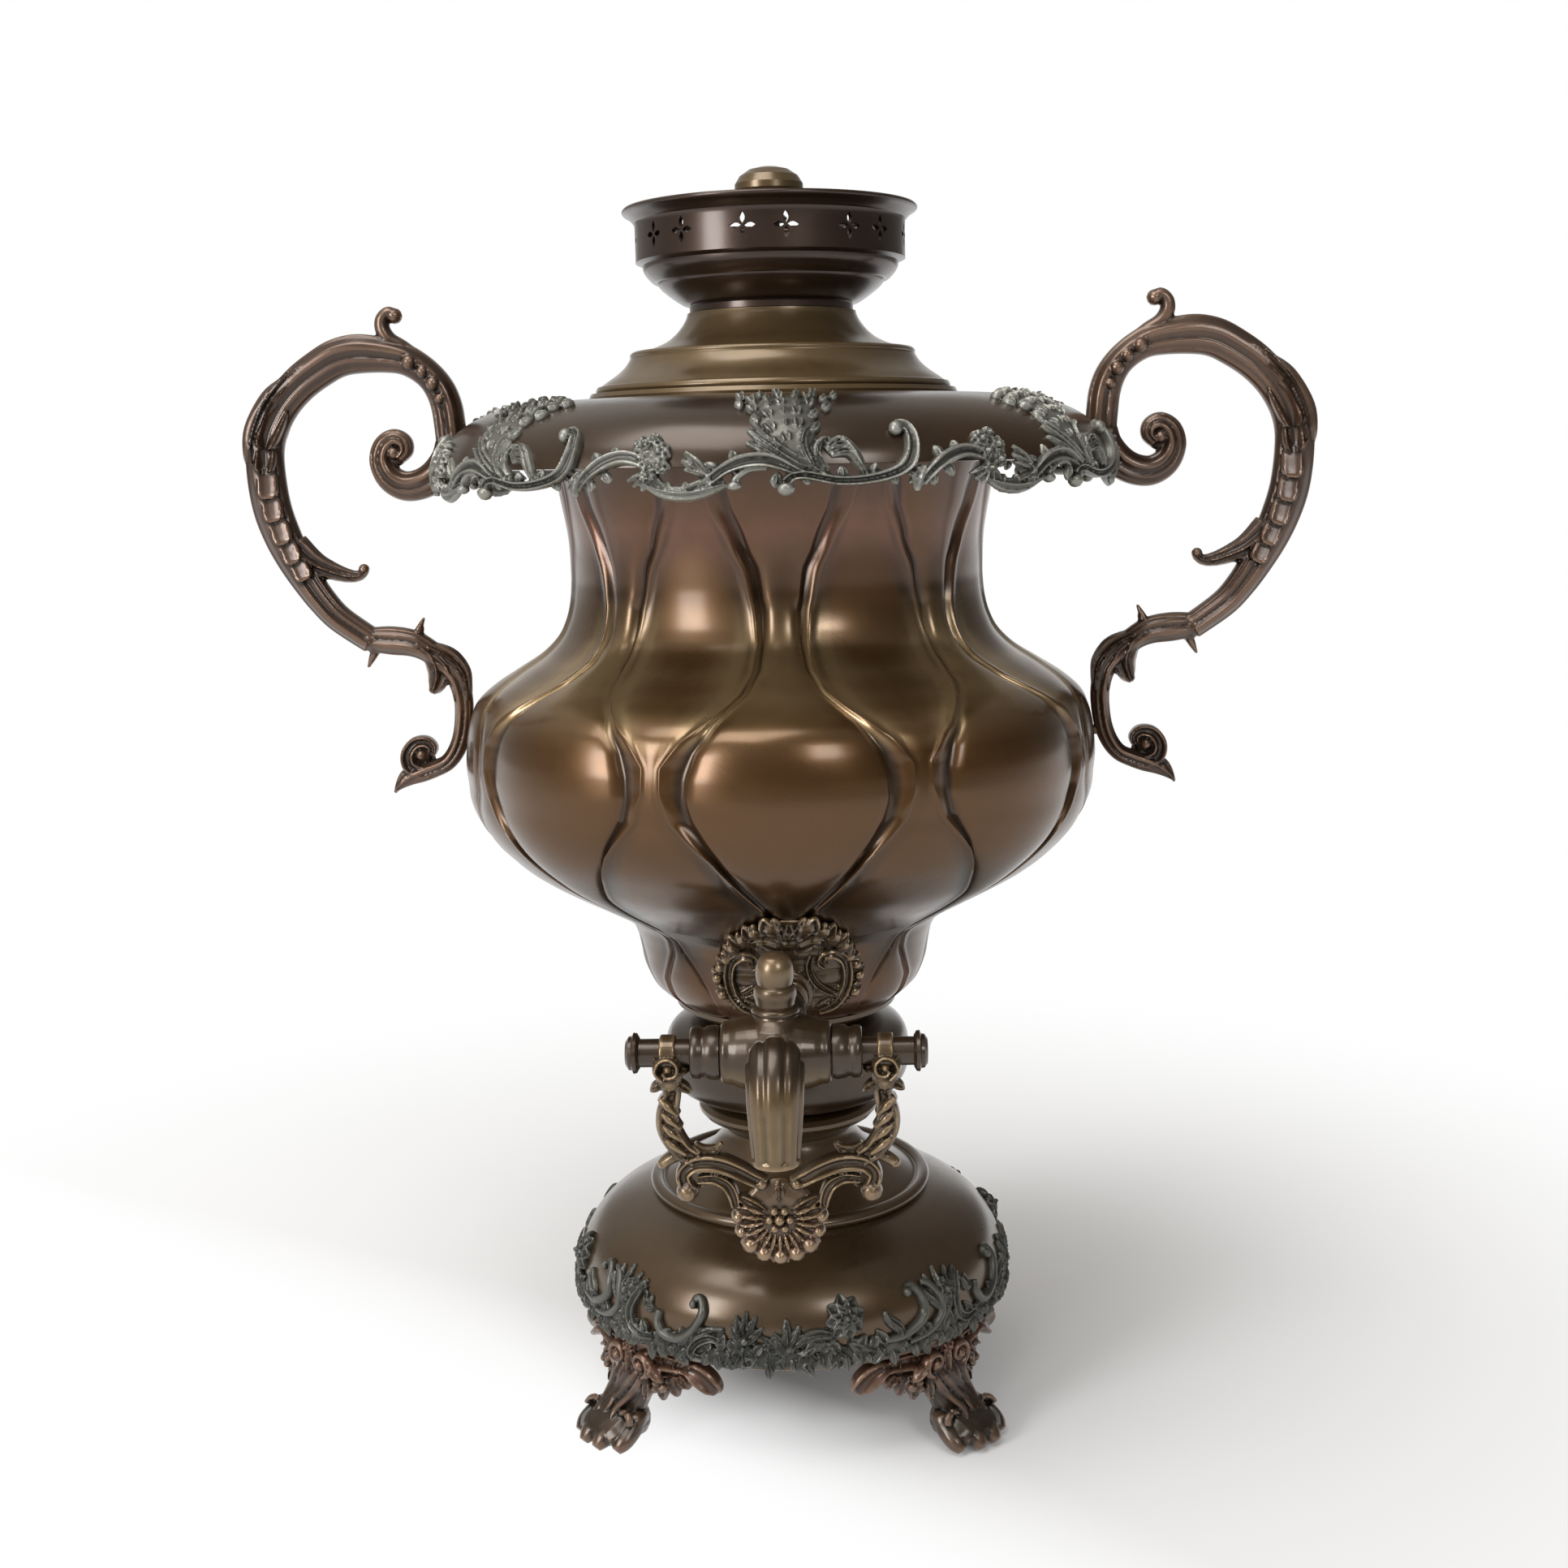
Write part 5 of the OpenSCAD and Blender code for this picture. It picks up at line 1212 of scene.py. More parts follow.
def handle_casting():
    """The right-hand scroll handle, in the plane through the axis."""
    c = Casting(on_plane(0))
    half = sizes().handle_thickness / MM / 2
    ribbed, plain, ridged = both(RIB), both(ROUND), both(BLADE)
    line = smooth(HANDLE_ARC, 8)
    run = np.concatenate([[0], np.cumsum(np.hypot(*np.diff(line[:, :2], axis=0).T))])

    def bar(rows, rise, section=ribbed, k=6):
        c.sweep([(x, z, w, rise(w) if callable(rise) else rise) for x, z, w in rows], section, k)

    def beside(s, out):
        """A point beside the arc: s millimetres along it, out towards its outer edge."""
        p = [np.interp(s, run, line[:, i]) for i in (0, 1)]
        q = [np.interp(s + 1, run, line[:, i]) for i in (0, 1)]
        dx, dz = q[0] - p[0], q[1] - p[1]
        n = math.hypot(dx, dz)
        return p[0] - dz / n * out, p[1] + dx / n * out

    bar(HANDLE_ARC, half * 0.95)
    bar(HANDLE_VOLUTE, lambda w: half * (0.62 + 0.05 * w))
    bar(HANDLE_S, lambda w: half * (0.4 + 0.08 * w))
    bar(TOP_CURL, lambda w: 1.6 + w * 0.8, plain)
    bar(FOOT_CURL, lambda w: 2 + w * 0.8, both(REED))
    bar(INNER_LEAF, lambda w: 1.4 + w * 0.9, ridged)
    # eyes of the volutes, the joint between arc and foot, and the ends of the curls
    for x, z, r, rise in ((154.6, 400.2, 5.6, 3.4), (154.6, 400.2, 3.4, 5.8), (150.2, 276, 4.4, 3),
                          (150.2, 276, 2.8, 5), (168.6, 324.2, 5.1, half * 0.84),
                          (151.9, 454.4, 3.3, 3.8), (170.2, 353.4, 2.3, 2.8)):
        c.ball(x, z, r, 0, rise, 12)
    # pearls where the arc leaves the brim
    for x, z, r in ((145.8, 436, 3.1), (140.6, 432.2, 2.7), (136.6, 427.4, 3.1), (134, 421.4, 2.4)):
        for side in (-1, 1):
            c.ball(x, z, r, side * half * 0.72, r * 1.15, 12)
    # overlapping plates on the inner side of the arc, each over the next
    start = float(run[np.argmin(np.hypot(line[:, 0] - 199.4, line[:, 1] - 420.7))])
    s0 = start + 1
    for i, long in enumerate((19, 13, 13, 12, 12, 11, 10)):
        wide = 4.4 - 0.14 * i
        rows = []
        for t, w, lift in ((0, 0.7, 0.9), (0.3, 1, 1.04), (0.7, 1.06, 1.2), (0.9, 0.9, 1.3),
                           (1, 0.5, 1.24)):
            x, z = beside(s0 + long * t, -2 + 0.7 * t)
            rows.append((x, z, wide * w, half * lift))
        c.sweep(rows, both(CUPPED if i < 2 else PLATE), 4)
        s0 += long * 0.82
    # broad leaf that wraps the outer edge above them
    for out, s0, reach, w in ((3.6, start - 22, 48, 3.2), (0.8, start - 16, 34, 2.6)):
        rows = []
        for t, f, lift in ((0, 0.3, 0.8), (0.2, 0.8, 1.04), (0.5, 1, 1.14), (0.8, 0.95, 1.18),
                           (1, 0.4, 1.04)):
            x, z = beside(s0 + reach * t, out + 1.3 * math.sin(math.pi * t))
            rows.append((x, z, w * f, half * lift))
        c.sweep(rows, ridged, 5)
    rows = [(*beside(start - 8 + 36 * t, 5.4 + 1.6 * math.sin(math.pi * t)), 3.2 * f,
             half * 0.7 * f) for t, f in ((0, 0.5), (0.25, 0.9), (0.6, 1), (0.85, 0.9), (1, 0.5))]
    c.sweep(rows, plain, 5)
    # thorns
    for x, z, tx, tz, w in ((149.6, 326.4, 146.4, 333, 1.8), (167.4, 319.6, 170.8, 312.8, 2),
                            (149.4, 326, 146.8, 329, 2.2)):
        c.sweep([(x, z, w, 2.6), ((x + tx) / 2, (z + tz) / 2, w * 0.7, 2), (tx, tz, 0.5, 0.9)],
                plain, 3)
    # cup of leaves round the neck of the lower scroll
    for rows in (((149, 322.4, 2.6), (144.2, 318.6, 4.4), (141.2, 311.4, 5.2), (142.6, 305, 3.8),
                  (144.6, 302, 1.6)),
                 ((145, 321.4, 2.2), (136.6, 317, 3.8), (131, 311, 3), (129.4, 304.4, 1.8),
                  (129, 298.6, 0.8)),
                 ((146, 320.4, 2), (138.6, 314.6, 3.2), (135, 306.4, 2.6), (134.6, 298, 0.8))):
        c.sweep([(x, z, w, half * 0.62 + w * 0.42) for x, z, w in rows], ridged, 5)
    # leaf that ends the foot volute
    c.sweep([(152, 266.6, 1.6, 3.6), (156.4, 267.6, 2.8, 4), (159.8, 264.2, 2.2, 3.2),
             (162.6, 259.8, 0.6, 1.2)], ridged, 4)
    return c


class SAMOVAR_OT_handles(bpy.types.Operator):
    """Casts the right scroll handle and mirrors it for the left"""

    bl_idname = "samovar.handles"
    bl_label = "Handles"

    def execute(self, context):
        right = handle_casting().cast("scroll_handle_right", sizes().grain / MM * 1.1, 2)
        left = copied(right, "scroll_handle_left", flip=True)
        finish_piece(right, "urn", "cast_handle", ["handle_right"])
        finish_piece(left, "urn", "cast_handle", ["handle_left"])
        return {"FINISHED"}


# ---------- tap ----------

# radius of the urn behind the cartouche
PLATE_RADIUS = 66


def plate_casting():
    """The cartouche behind the tap. Angles in degrees from its middle, heights."""
    wall = [(z, r + 0.5) for z, r in CREST if z < 240]
    c = Casting(on_wall(wall, PLATE_RADIUS, math.degrees(sizes().lobe_turn)))
    k = PLATE_RADIUS / DEG

    def band(rows, section=ROUND):
        """The same band on both sides, along rows of angle, height, half width and rise."""
        for side in (-1, 1):
            c.sweep([(side * r[0] * k, *r[1:]) for r in rows], section)

    # thin field
    for z, a in ((183, 21), (188, 26), (194, 27), (200, 25.4), (205.6, 21.6), (210.4, 17.6),
                 (214.6, 14), (219, 11), (223.6, 7)):
        c.sweep([(-a * k * 0.9, z, 3, 1.3), (0, z + 0.4, 3.6, 1.5), (a * k * 0.9, z, 3, 1.3)],
                ROUND, 6)
    # C scrolls
    band([(12, 180.6, 1.4, 2.6), (17.6, 183.6, 2.2, 3.4), (20.8, 189.6, 2.5, 3.8),
          (21.3, 196.2, 2.5, 4), (19.6, 202.8, 2.5, 4), (15.8, 206.6, 2.4, 3.8),
          (12.2, 206, 2.1, 3.6), (11.2, 202.4, 1.9, 3.2), (13.2, 200, 1.6, 3)], REED)
    band([(8, 206, 1, 2.4), (7.2, 200, 1.6, 3), (9.4, 193.6, 1.7, 3.2), (14, 189.4, 1.5, 3),
          (18.4, 187.4, 1, 2.4)], REED)
    # strips that fan out at the bottom
    for i in range(5):
        f = i / 4
        band([(9.6 + 2 * f, 182.6 + 1.6 * f, 0.8, 2), (14 + 4 * f, 184 + 3.4 * f, 1.2, 2.6),
              (19 + 4.6 * f, 182.4 + 5 * f, 1.1, 2.6),
              (22.6 + 3.6 * f, 181.4 + 5.8 * f, 0.6, 1.8)], BLADE)
    # shell-like leaves and pearls up the outer edge
    edge = smooth([(27.4, 188.6), (28.8, 195.4), (27, 200.4), (23.8, 204.8), (20, 210.6),
                   (14.6, 217.6), (10.4, 222.8), (6.4, 226)], 3)
    for i, (a, z) in enumerate(edge):
        for side in (-1, 1):
            if i % 3 == 0:
                c.ball(side * (a - 2.6) * k, z - 0.8, 2.3, 1.8, 2.2, 8)
            elif i % 3 == 1:
                c.drop(side * (a - 5) * k, z - 1.6, 90 - side * (80 - 3.4 * i), 6.4, 2.6, 3.2, 0,
                       CUPPED)
            else:
                c.drop(side * (a - 4) * k, z - 1.6, 90 - side * (56 - 3 * i), 5, 2, 3)
    # crest: a small shell over two curls
    for a in range(-60, 61, 20):
        c.drop(0, 217.6, 90 + a, 9, 1.9, 3.6, 0.2, CUPPED)
    c.ball(0, 218, 2.6, 2.2, 3)
    band([(3, 212, 0.9, 2.4), (6, 216, 1.5, 3), (9.2, 215.6, 1.5, 3), (9.8, 211.6, 1.3, 2.8),
          (7.4, 209.6, 1.1, 2.4)], REED)
    band([(2, 208, 1.2, 2.6), (5.6, 209, 1.4, 2.8), (8.6, 213, 1, 2.4)], BLADE)
    # boss round the shank
    c.ball(0, 188, 11.4, 0.2, 4.4, 28)
    c.ball(0, 188, 8.4, 3, 4, 28)
    return c


class SAMOVAR_OT_tap_plate(bpy.types.Operator):
    """Casts the cartouche on the urn behind the tap"""

    bl_idname = "samovar.tap_plate"
    bl_label = "Tap plate"

    def execute(self, context):
        obj = plate_casting().cast("tap_cartouche", sizes().grain / MM * 0.9)
        finish_piece(obj, "urn", "brass_trim", ["tap_plate"])
        return {"FINISHED"}


# the shank falls towards the plug; the spout bends on a radius and ends in front of the plug
TAP_TILT = math.radians(9.5)
SPOUT_BEND, SPOUT_OUT = 17, 20
PLUG_BORE = 8.05
# round the barrel's height the ridges stay dull, painted shade on the barrel: over what height, and
# how much
DULL_SPAN, DULL = 14, 0.85
# the acorn over the barrel: radius, and height over the plug
ACORN_LINE = [(0, 15), (8.6, 15), None, (8.6, 15), (9, 16.2), (8.4, 17.4), (7, 18), None,
              (7, 18), (7.4, 20), (8, 22.4), (7.6, 24.8), (6.4, 26), None, (6.4, 26), (6.9, 28),
              (7.1, 30.6), (6.6, 33.6), (5, 36.4), (2.6, 37.8), (0, 38.2)]
# a cap at the barrel's end: radius, and distance from the tap's middle
CAP_LINE = [(8.1, 20.6), (8.1, 31.6), (8.8, 31.6), (9.6, 30.9), (9.7, 28.4), (9.1, 27.6),
            (9.1, 26.4), (9.8, 25.7), (10.2, 22.4), (9.8, 20.8), (8.8, 20.6)]


def plug_place():
    """Where the plug's axis runs: its y and its height in millimetres."""
    return -sizes().plug_out / MM, sizes().plug_height / MM


def tap_casting():
    """The shank, barrel, boss and fluted spout."""
    y0, z0 = plug_place()
    c = Casting(on_plane(y0))

    def on_shank(s):
        """A point on the shank's falling axis, s behind the plug."""
        return y0 + s * math.cos(TAP_TILT), z0 + s * math.sin(TAP_TILT)

    def upright(y, z, rows, n):
        """A round solid on an upright axis, from rows of height over z and radius."""
        c.skin([[(r * math.cos(a), y + r * math.sin(a), z + up) for a in angles(n)]
                for up, r in rows])

    # threaded shank and its flange
    for rows in (((8, 9.6), (22, 8.8), (33, 8.2)), ((33, 10.4), (36.4, 10.4), (37.4, 9.6)),
                 ((36, 6), (58, 6), (63.6, 6))):
        c.limb([(0, *on_shank(s), r, r) for s, r in rows], n=40, k=3)
    # barrel: a bell at each end
    bell = [(0, 15), (5, 14.8), (10, 14), (14.4, 12.8), (17, 11.8), (19, 11.6), (20, 11),
            (20.4, 10)]
    bell = [(-x, r) for x, r in bell[:0:-1]] + bell
    c.skin([[(x, y0 + r * math.cos(a), z0 + r * math.sin(a)) for a in angles(48)]
            for x, r in bell])
    # boss under the acorn
    upright(y0, z0, ((2, 15), (7, 14.2), (10.6, 12), (12.8, 9.6), (14.2, 8.4), (15.3, 8.2)), 40)
    # fluted spout that bends down to the outlet, and its lip
    rows = [(0, y0 + 8, z0 + 1.4, 15, 12), (0, y0 + 2, z0 + 1.4, 13, 11.4)]
    for i in range(7):
        a = math.radians(90 - 15 * i)
        rows.append((0, y0 - 3 - SPOUT_BEND * math.cos(a), z0 - 16 + SPOUT_BEND * math.sin(a),
                     11.4 - 0.2 * i, 10.6 - 0.13 * i))
    rows += [(0, y0 - SPOUT_OUT, z0 - 22, 9.7, 9.5), (0, y0 - SPOUT_OUT, z0 - 35.4, 8.9, 8.9)]
    c.limb(rows, lambda a: 1 - 0.085 * abs(math.sin(4 * a)) ** 8, n=96, k=5)
    upright(y0 - SPOUT_OUT, 0, ((143.5, 8.7), (144, 9.1), (145.6, 9.1), (146.4, 8.5)), 48)
    return c


class SAMOVAR_OT_tap_body(bpy.types.Operator):
    """Casts the tap's shank, barrel and fluted spout, and drills them"""

    bl_idname = "samovar.tap_body"
    bl_label = "Tap body"

    def execute(self, context):
        y0, z0 = plug_place()
        obj = tap_casting().cast("tap_casting", sizes().grain / MM)
        bored(obj, (-30, y0, z0), (1, 0, 0), PLUG_BORE, 60)
        bored(obj, (0, y0 - SPOUT_OUT, 142), (0, 0, 1), sizes().spout_bore / MM / 2, 15)
        finish_piece(obj, "urn", "brass_tap", ["tap_body"])
        # the spout's ridges stay bright, rubbed and partly a painted highlight, and the barrel's
        # stay dull, painted shade
        wear_and_shade = obj.data.attributes["ridge"].data
        value = np.empty(len(wear_and_shade), np.float32)
        wear_and_shade.foreach_get("value", value)
        barrel = np.exp(-((coords(obj)[:, 2] / MM - z0) / DULL_SPAN) ** 4)
        wear_and_shade.foreach_set("value", (value * (1 - DULL * barrel)).astype(np.float32))
        return {"FINISHED"}


class SAMOVAR_OT_tap_turnings(bpy.types.Operator):
    """Spins the acorn on the barrel and the caps at the barrel's ends"""

    bl_idname = "samovar.tap_turnings"
    bl_label = "Tap's acorn and caps"

    def execute(self, context):
        y0, z0 = plug_place()
        home = Matrix.Translation((0, y0 * MM, z0 * MM))
        acorn = turned("tap_acorn", runs(ACORN_LINE) + ACORN_LINE[:1], 64)
        acorn.data.transform(home)
        # the acorn's top takes the painted highlight of the tap's finish
        finish_piece(acorn, "urn", "brass_tap", ["tap_finial"], wear=False, angle=50)
        caps = [turned("plug_collar", CAP_LINE + CAP_LINE[:1], 64) for _ in range(2)]
        for side, cap in zip((-1, 1), caps):
            cap.data.transform(home @ Matrix.Rotation(side * math.pi / 2, 4, "Y"))
        deselect()
        for cap in caps:
            cap.select_set(True)
        bpy.context.view_layer.objects.active = caps[0]
        bpy.ops.object.join()
        finish_piece(caps[0], "tap_key", "brass_bar", ["plug_collars"], wear=False,
                     angle=50)
        return {"FINISHED"}


# bore of the bail's eyes, which the plug's bars run through
BAR_BORE = 5.35


def bail_casting():
    """The hanging rocaille handle of the tap, drawn for its right half."""
    y0, z0 = plug_place()
    c = Casting(on_plane(y0))
    plain, reeded, ridged = both(ROUND), both(REED), both(BLADE)
    for side in (-1, 1):
        def band(rows, section=plain, k=5):
            c.sweep([(side * r[0], r[1], r[2] * 1.2, r[3] * 1.08) for r in rows], section, k)

        def ball(x, z, r, rise=None):
            c.ball(side * x, z, r, 0, rise, 12)

        def drop(x, z, a, length, w, rise):
            c.drop(side * x, z, a if side > 0 else 180 - a, length, w, rise, 0, ridged)

        # arm: hangs from the eye, swells and curls in
        band([(39.8, 174, 4.2, 4.4), (39.8, 169.6, 4.2, 4.2), (39, 165.6, 3, 3.4),
              (39.4, 162, 3, 3.4), (40.8, 156.5, 3.6, 3.8), (40.8, 151, 3.8, 4),
              (38.8, 146, 3.7, 4), (35.4, 141.4, 3.4, 3.6), (30.6, 138.2, 3, 3.2)], reeded)
        # twisted leaf round it
        for i in range(4):
            z = 160.6 - 5 * i
            band([(43.6 - 0.3 * i * i * 0.3, z + 1.6, 1.2, 3.4),
                  (40.6 - 0.5 * i, z - 1.4, 2.1, 4.8),
                  (37 - 0.9 * i, z - 5.4, 1.2, 3.4)], plain, 3)
        # leaf collar under the eye
        ball(39.8, 168.4, 5, 5)
        for x, z, a, length in ((42, 168.4, -38, 6.6), (37.6, 168.4, 218, 7.6),
                                (39.8, 168.4, -90, 6.4), (42.4, 171.6, 20, 4),
                                (37, 171.6, 160, 4)):
            drop(x, z, a, length, 2.2, 4.6)
        # curl where the arm meets the C scroll, and its knob
        band([(31.4, 143.6, 1.2, 2.6), (28, 141.4, 1.8, 3), (23.6, 141.6, 1.7, 2.8),
              (21, 144, 0.8, 1.6)], ridged)
        band([(36, 140, 2, 3), (40.4, 138.2, 2, 3), (43.2, 136.2, 1.8, 2.6)], plain, 3)
        ball(43.2, 136, 2.3)
        # C scroll with its ball
        band([(32.4, 125.6, 2, 3), (35, 128.4, 2.4, 3.4), (35.6, 132.4, 2.5, 3.6),
              (32.2, 135.8, 2.8, 3.8), (26.8, 136.7, 3.1, 4), (20.8, 135.8, 3.1, 4),
              (14.7, 133.2, 2.9, 3.8), (9.4, 130.2, 2.6, 3.4), (5, 128.2, 2.2, 3)], reeded)
        ball(34.4, 125, 4.3, 4.6)
        # lower stem that curls down beside the shell
        band([(30.4, 130, 1.5, 2.6), (24.4, 130.4, 1.9, 3), (19.6, 128, 2.1, 3.2),
              (17.2, 123.6, 2, 3), (16.4, 119, 1.5, 2.4)], reeded)
        drop(28, 131, -70, 5, 1.6, 2.6)
        ball(6.4, 128.2, 2.7, 3.6)
        # eye round the bar
        c.skin([[(side * x, y0 + r * math.cos(side * a), z0 + r * math.sin(side * a))
                 for a in angles(28)]
                for x, r in ((37.2, 6.4), (37.6, 6.8), (42.6, 6.8), (43, 6.4))])
        # volute in front of the eye
        band([(40 + 4.6 * f * math.cos(a), 174.4 + 4.6 * f * math.sin(a), 1.3, 8)
              for a, f in ((-1.2, 1), (-0.2, 1), (0.8, 0.95), (1.8, 0.9), (2.8, 0.85), (3.8, 0.75),
                           (4.8, 0.6), (5.8, 0.4))], plain, 4)
        ball(40, 174.4, 2.9, 8.2)
        for x, z, a in ((37.4, 177.4, 130), (43, 177, 48), (36.4, 173.6, 190)):
            drop(x, z, a, 4.6, 1.9, 7.4)
    # ribbed shell: fan, beaded rim and a boss of pearls
    c.ball(0, 114.6, 15.4, 0, 3, 28)
    for i in range(16):
        a = 150 + 240 * i / 15
        c.drop(5 * math.cos(math.radians(a)), 114.6 + 5 * math.sin(math.radians(a)), a, 13, 2.5,
               4.6, 0, both(CUPPED))
    for i in range(9):
        a = math.radians(180 + 180 * i / 8)
        big = 3.9 if 1 < i < 7 else 2.8
        c.ball(15.6 * math.cos(a), 115.4 + 15.2 * math.sin(a), big, 0, big + 1.5, 10)
    c.drop(0, 121, 90, 8, 2.6, 4.6, 0, ridged)
    for count, reach, r in ((1, 0, 2.3), (6, 3.8, 1.7)):
        for i in range(count):
            a = 2 * math.pi * i / count
            for face in (-1, 1):
                c.ball(reach * math.cos(a), 115 + reach * math.sin(a), r, face * 4.2, r, 8)
    return c


class SAMOVAR_OT_tap_bail(bpy.types.Operator):
    """Casts the hanging handle that turns with the tap's plug"""

    bl_idname = "samovar.tap_bail"
    bl_label = "Tap handle"

    def execute(self, context):
        obj = bail_casting().cast("tap_handle", sizes().grain / MM * 0.9)
        y0, z0 = plug_place()
        left, right = (x / MM for x in extent("tap_plug", 0))
        bored(obj, (left - 10, y0, z0), (1, 0, 0), BAR_BORE, right - left + 20)
        finish_piece(obj, "tap_key", "brass_trim", ["tap_bail"])
        return {"FINISHED"}


# ---------- stage ----------

MIDDLE = Vector((0, 0, 0.3))


def area_light(name, place, size, power, colour=(1, 1, 1)):
    """A soft lamp that faces the middle of the samovar."""
    lamp = bpy.data.lights.new(name, "AREA")
    lamp.shape = "RECTANGLE"
    lamp.size, lamp.size_y = size
    lamp.energy = power
    lamp.color = colour
    obj = bpy.data.objects.new(name, lamp)
    bpy.context.scene.collection.objects.link(obj)
    obj.location = place
    obj.rotation_euler = (MIDDLE - Vector(place)).to_track_quat("-Z", "Y").to_euler()


def floor_material():
    """Matt and pale near the samovar, where its shadow falls, and plain white further out."""
    mat = bpy.data.materials.new("pale_floor")
    tree = cleared(mat)
    place = add_node(tree, "ShaderNodeTexCoord").outputs["Object"]
    reach = add_node(tree, "ShaderNodeVectorMath", {0: place}, operation="LENGTH")
    far = ranged(tree, reach.outputs["Value"], 0.08, 0.62, 0.08, 1)
    # glows white at once towards the front left, painted light that keeps the shadow off the floor
    # there
    left = add_node(tree, "ShaderNodeVectorMath", {0: place, 1: (-0.6, -0.8, 0)},
                    operation="DOT_PRODUCT")
    clear = ranged(tree, left.outputs["Value"], -0.01, 0.1)
    rays = add_node(tree, "ShaderNodeLightPath").outputs
    seen = maths(tree, "MAXIMUM", rays["Is Glossy Ray"], rays["Is Transmission Ray"])
    seen = maths(tree, "MAXIMUM", rays["Is Camera Ray"], seen)
    share = maths(tree, "MULTIPLY", seen, maths(tree, "MAXIMUM", far, clear))
    matt = add_node(tree, "ShaderNodeBsdfDiffuse", {"Color": (0.9, 0.9, 0.9, 1)})
    glow = add_node(tree, "ShaderNodeEmission")
    mix = add_node(tree, "ShaderNodeMixShader",
                   {0: share, 1: matt.outputs[0], 2: glow.outputs[0]})
    add_node(tree, "ShaderNodeOutputMaterial", {"Surface": mix.outputs[0]})
    return mat


def white_world():
    """White to the camera, and to metal straight behind the samovar; a soft room otherwise."""
    world = bpy.data.worlds.new("studio")
    bpy.context.scene.world = world
    tree = cleared(world)
    way = add_node(tree, "ShaderNodeTexCoord").outputs["Generated"]
    x, y, z = add_node(tree, "ShaderNodeSeparateXYZ", {0: way}).outputs
    # brighter towards the ceiling, dimmer to the right
    room = maths(tree, "MULTIPLY_ADD", ranged(tree, z, 0.1, 0.8, 0.3, 0.6),
                 ranged(tree, x, -0.6, 0.7, 1.0, 0.4), ranged(tree, y, 0.3, 0.9, 0.0, 0.05))
    rays = add_node(tree, "ShaderNodeLightPath").outputs
    seen = maths(tree, "MAXIMUM", rays["Is Glossy Ray"], rays["Is Transmission Ray"])
    behind = maths(tree, "MULTIPLY", seen, ranged(tree, y, 0.86, 1.0))
    share = maths(tree, "MAXIMUM", rays["Is Camera Ray"], behind)
    light = add_node(tree, "ShaderNodeBackground", {"Color": (1, 0.95, 0.88, 1), "Strength": room})
    white = add_node(tree, "ShaderNodeBackground", {"Color": (1, 1, 1, 1)})
    mix = add_node(tree, "ShaderNodeMixShader",
                   {0: share, 1: light.outputs[0], 2: white.outputs[0]})
    add_node(tree, "ShaderNodeOutputWorld", {"Surface": mix.outputs[0]})


# the camera: focal length, width of the frame and shift to the right in pixels, then its distance
# from the axis, its height and the height it aims at in metres, and its turn and roll
FOCAL, FRAME, SHIFT = 2302.5, 1932, 2.84
REACH, EYE, AIM = 0.7675, 0.3946, 0.261
TURN, ROLL = math.radians(2.24), 0.0215
SENSOR = 36


def add_camera():
    lens = bpy.data.cameras.new("camera")
    lens.sensor_width = SENSOR
    lens.lens = SENSOR * FOCAL / FRAME
    lens.shift_x = SHIFT / FRAME
    lens.clip_start = 0.01
    obj = bpy.data.objects.new("camera", lens)
    bpy.context.scene.collection.objects.link(obj)
    place = Vector((REACH * math.sin(TURN), -REACH * math.cos(TURN), EYE))
    look = (Vector((0, 0, AIM)) - place).to_track_quat("-Z", "Y").to_matrix()
    level = (look @ Matrix.Rotation(-ROLL, 3, "Z")).to_4x4()
    obj.matrix_world = Matrix.Translation(place) @ level
    bpy.context.scene.camera = obj


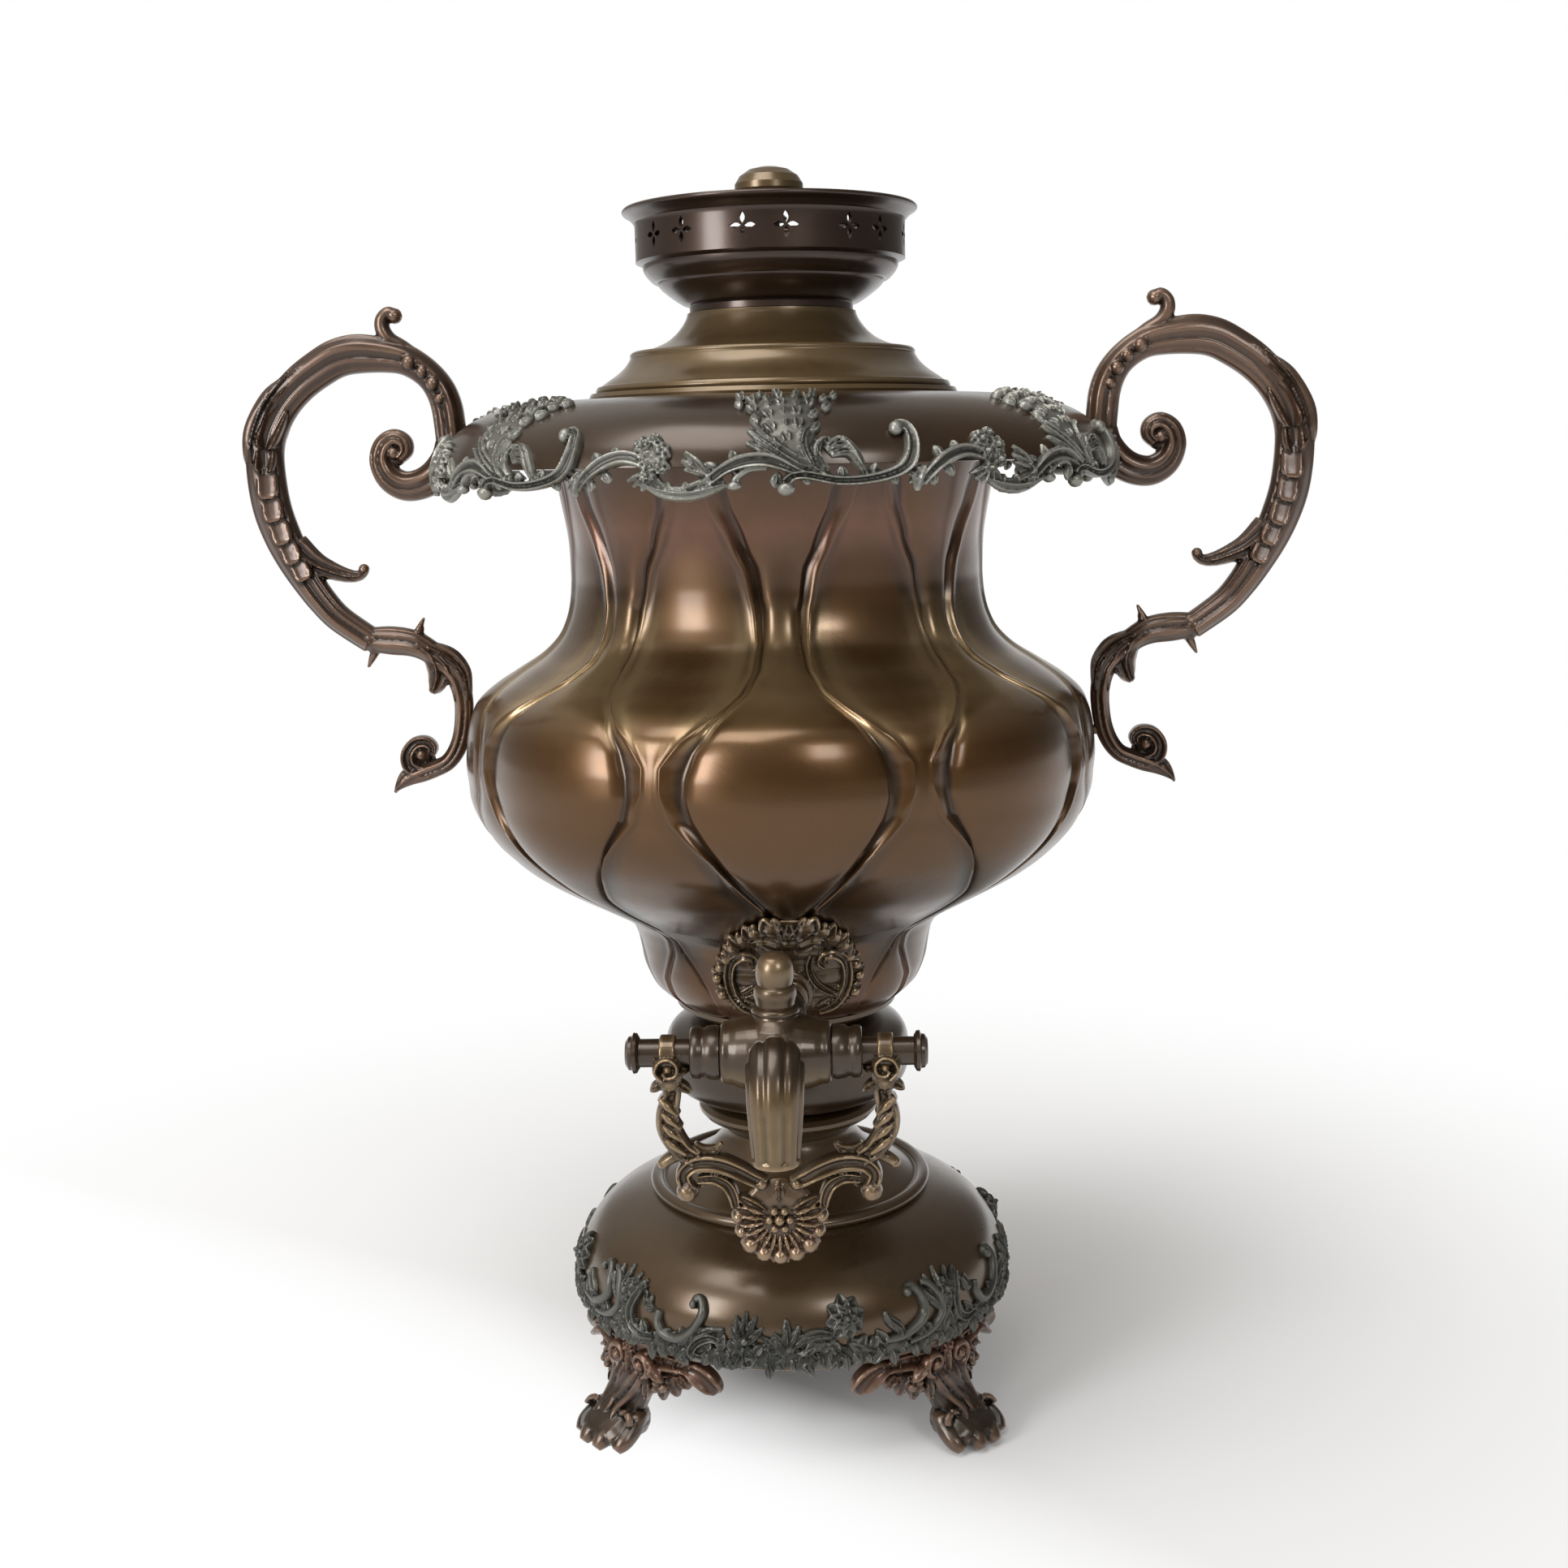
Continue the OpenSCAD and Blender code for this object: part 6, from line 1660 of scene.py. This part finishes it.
class SAMOVAR_OT_stage(bpy.types.Operator):
    """Sets out the pale floor, the soft lights and the camera"""

    bl_idname = "samovar.stage"
    bl_label = "Stage"

    def execute(self, context):
        deselect()
        bpy.ops.mesh.primitive_plane_add(size=12, location=(0, 0, 0))
        floor = bpy.context.active_object
        floor.name = floor.data.name = "floor"
        floor.data.materials.append(floor_material())
        white_world()
        area_light("window", (-1.15, -1.15, 0.75), (0.5, 0.75), 14, (0.98, 0.99, 1))
        area_light("softbox", (0.75, -1.5, 1.15), (0.5, 0.4), 6, (0.98, 0.99, 1))
        area_light("overhead", (-0.45, -0.55, 1.8), (1.1, 1.1), 16)
        add_camera()
        bpy.context.scene.view_settings.view_transform = "Standard"
        return {"FINISHED"}


# ---------- add-on ----------

OPERATORS = (SAMOVAR_OT_solids, SAMOVAR_OT_urn, SAMOVAR_OT_turnings, SAMOVAR_OT_air_collar,
             SAMOVAR_OT_brim_border, SAMOVAR_OT_base_apron, SAMOVAR_OT_feet, SAMOVAR_OT_handles,
             SAMOVAR_OT_tap_plate, SAMOVAR_OT_tap_body, SAMOVAR_OT_tap_turnings,
             SAMOVAR_OT_tap_bail, SAMOVAR_OT_stage)


class SAMOVAR_PT_panel(bpy.types.Panel):
    """Lists the pieces in the order they are made"""

    bl_idname = "SAMOVAR_PT_panel"
    bl_label = "Samovar"
    bl_space_type = "VIEW_3D"
    bl_region_type = "UI"
    bl_category = "Samovar"

    def draw(self, context):
        column = self.layout.column()
        for name in SamovarSizes.__annotations__:
            column.prop(sizes(), name)
        for name in SamovarColours.__annotations__:
            column.prop(context.scene.samovar_colours, name)
        for op in OPERATORS:
            column.operator(op.bl_idname)


CLASSES = (SamovarSizes, SamovarColours, *OPERATORS, SAMOVAR_PT_panel)


def register():
    for c in CLASSES:
        bpy.utils.register_class(c)
    bpy.types.Scene.samovar_sizes = PointerProperty(type=SamovarSizes)
    bpy.types.Scene.samovar_colours = PointerProperty(type=SamovarColours)


def unregister():
    del bpy.types.Scene.samovar_colours
    del bpy.types.Scene.samovar_sizes
    for c in reversed(CLASSES):
        bpy.utils.unregister_class(c)


def main():
    register()
    for op in OPERATORS:
        group, name = op.bl_idname.split(".")
        getattr(getattr(bpy.ops, group), name)()


if __name__ == "__main__":
    main()
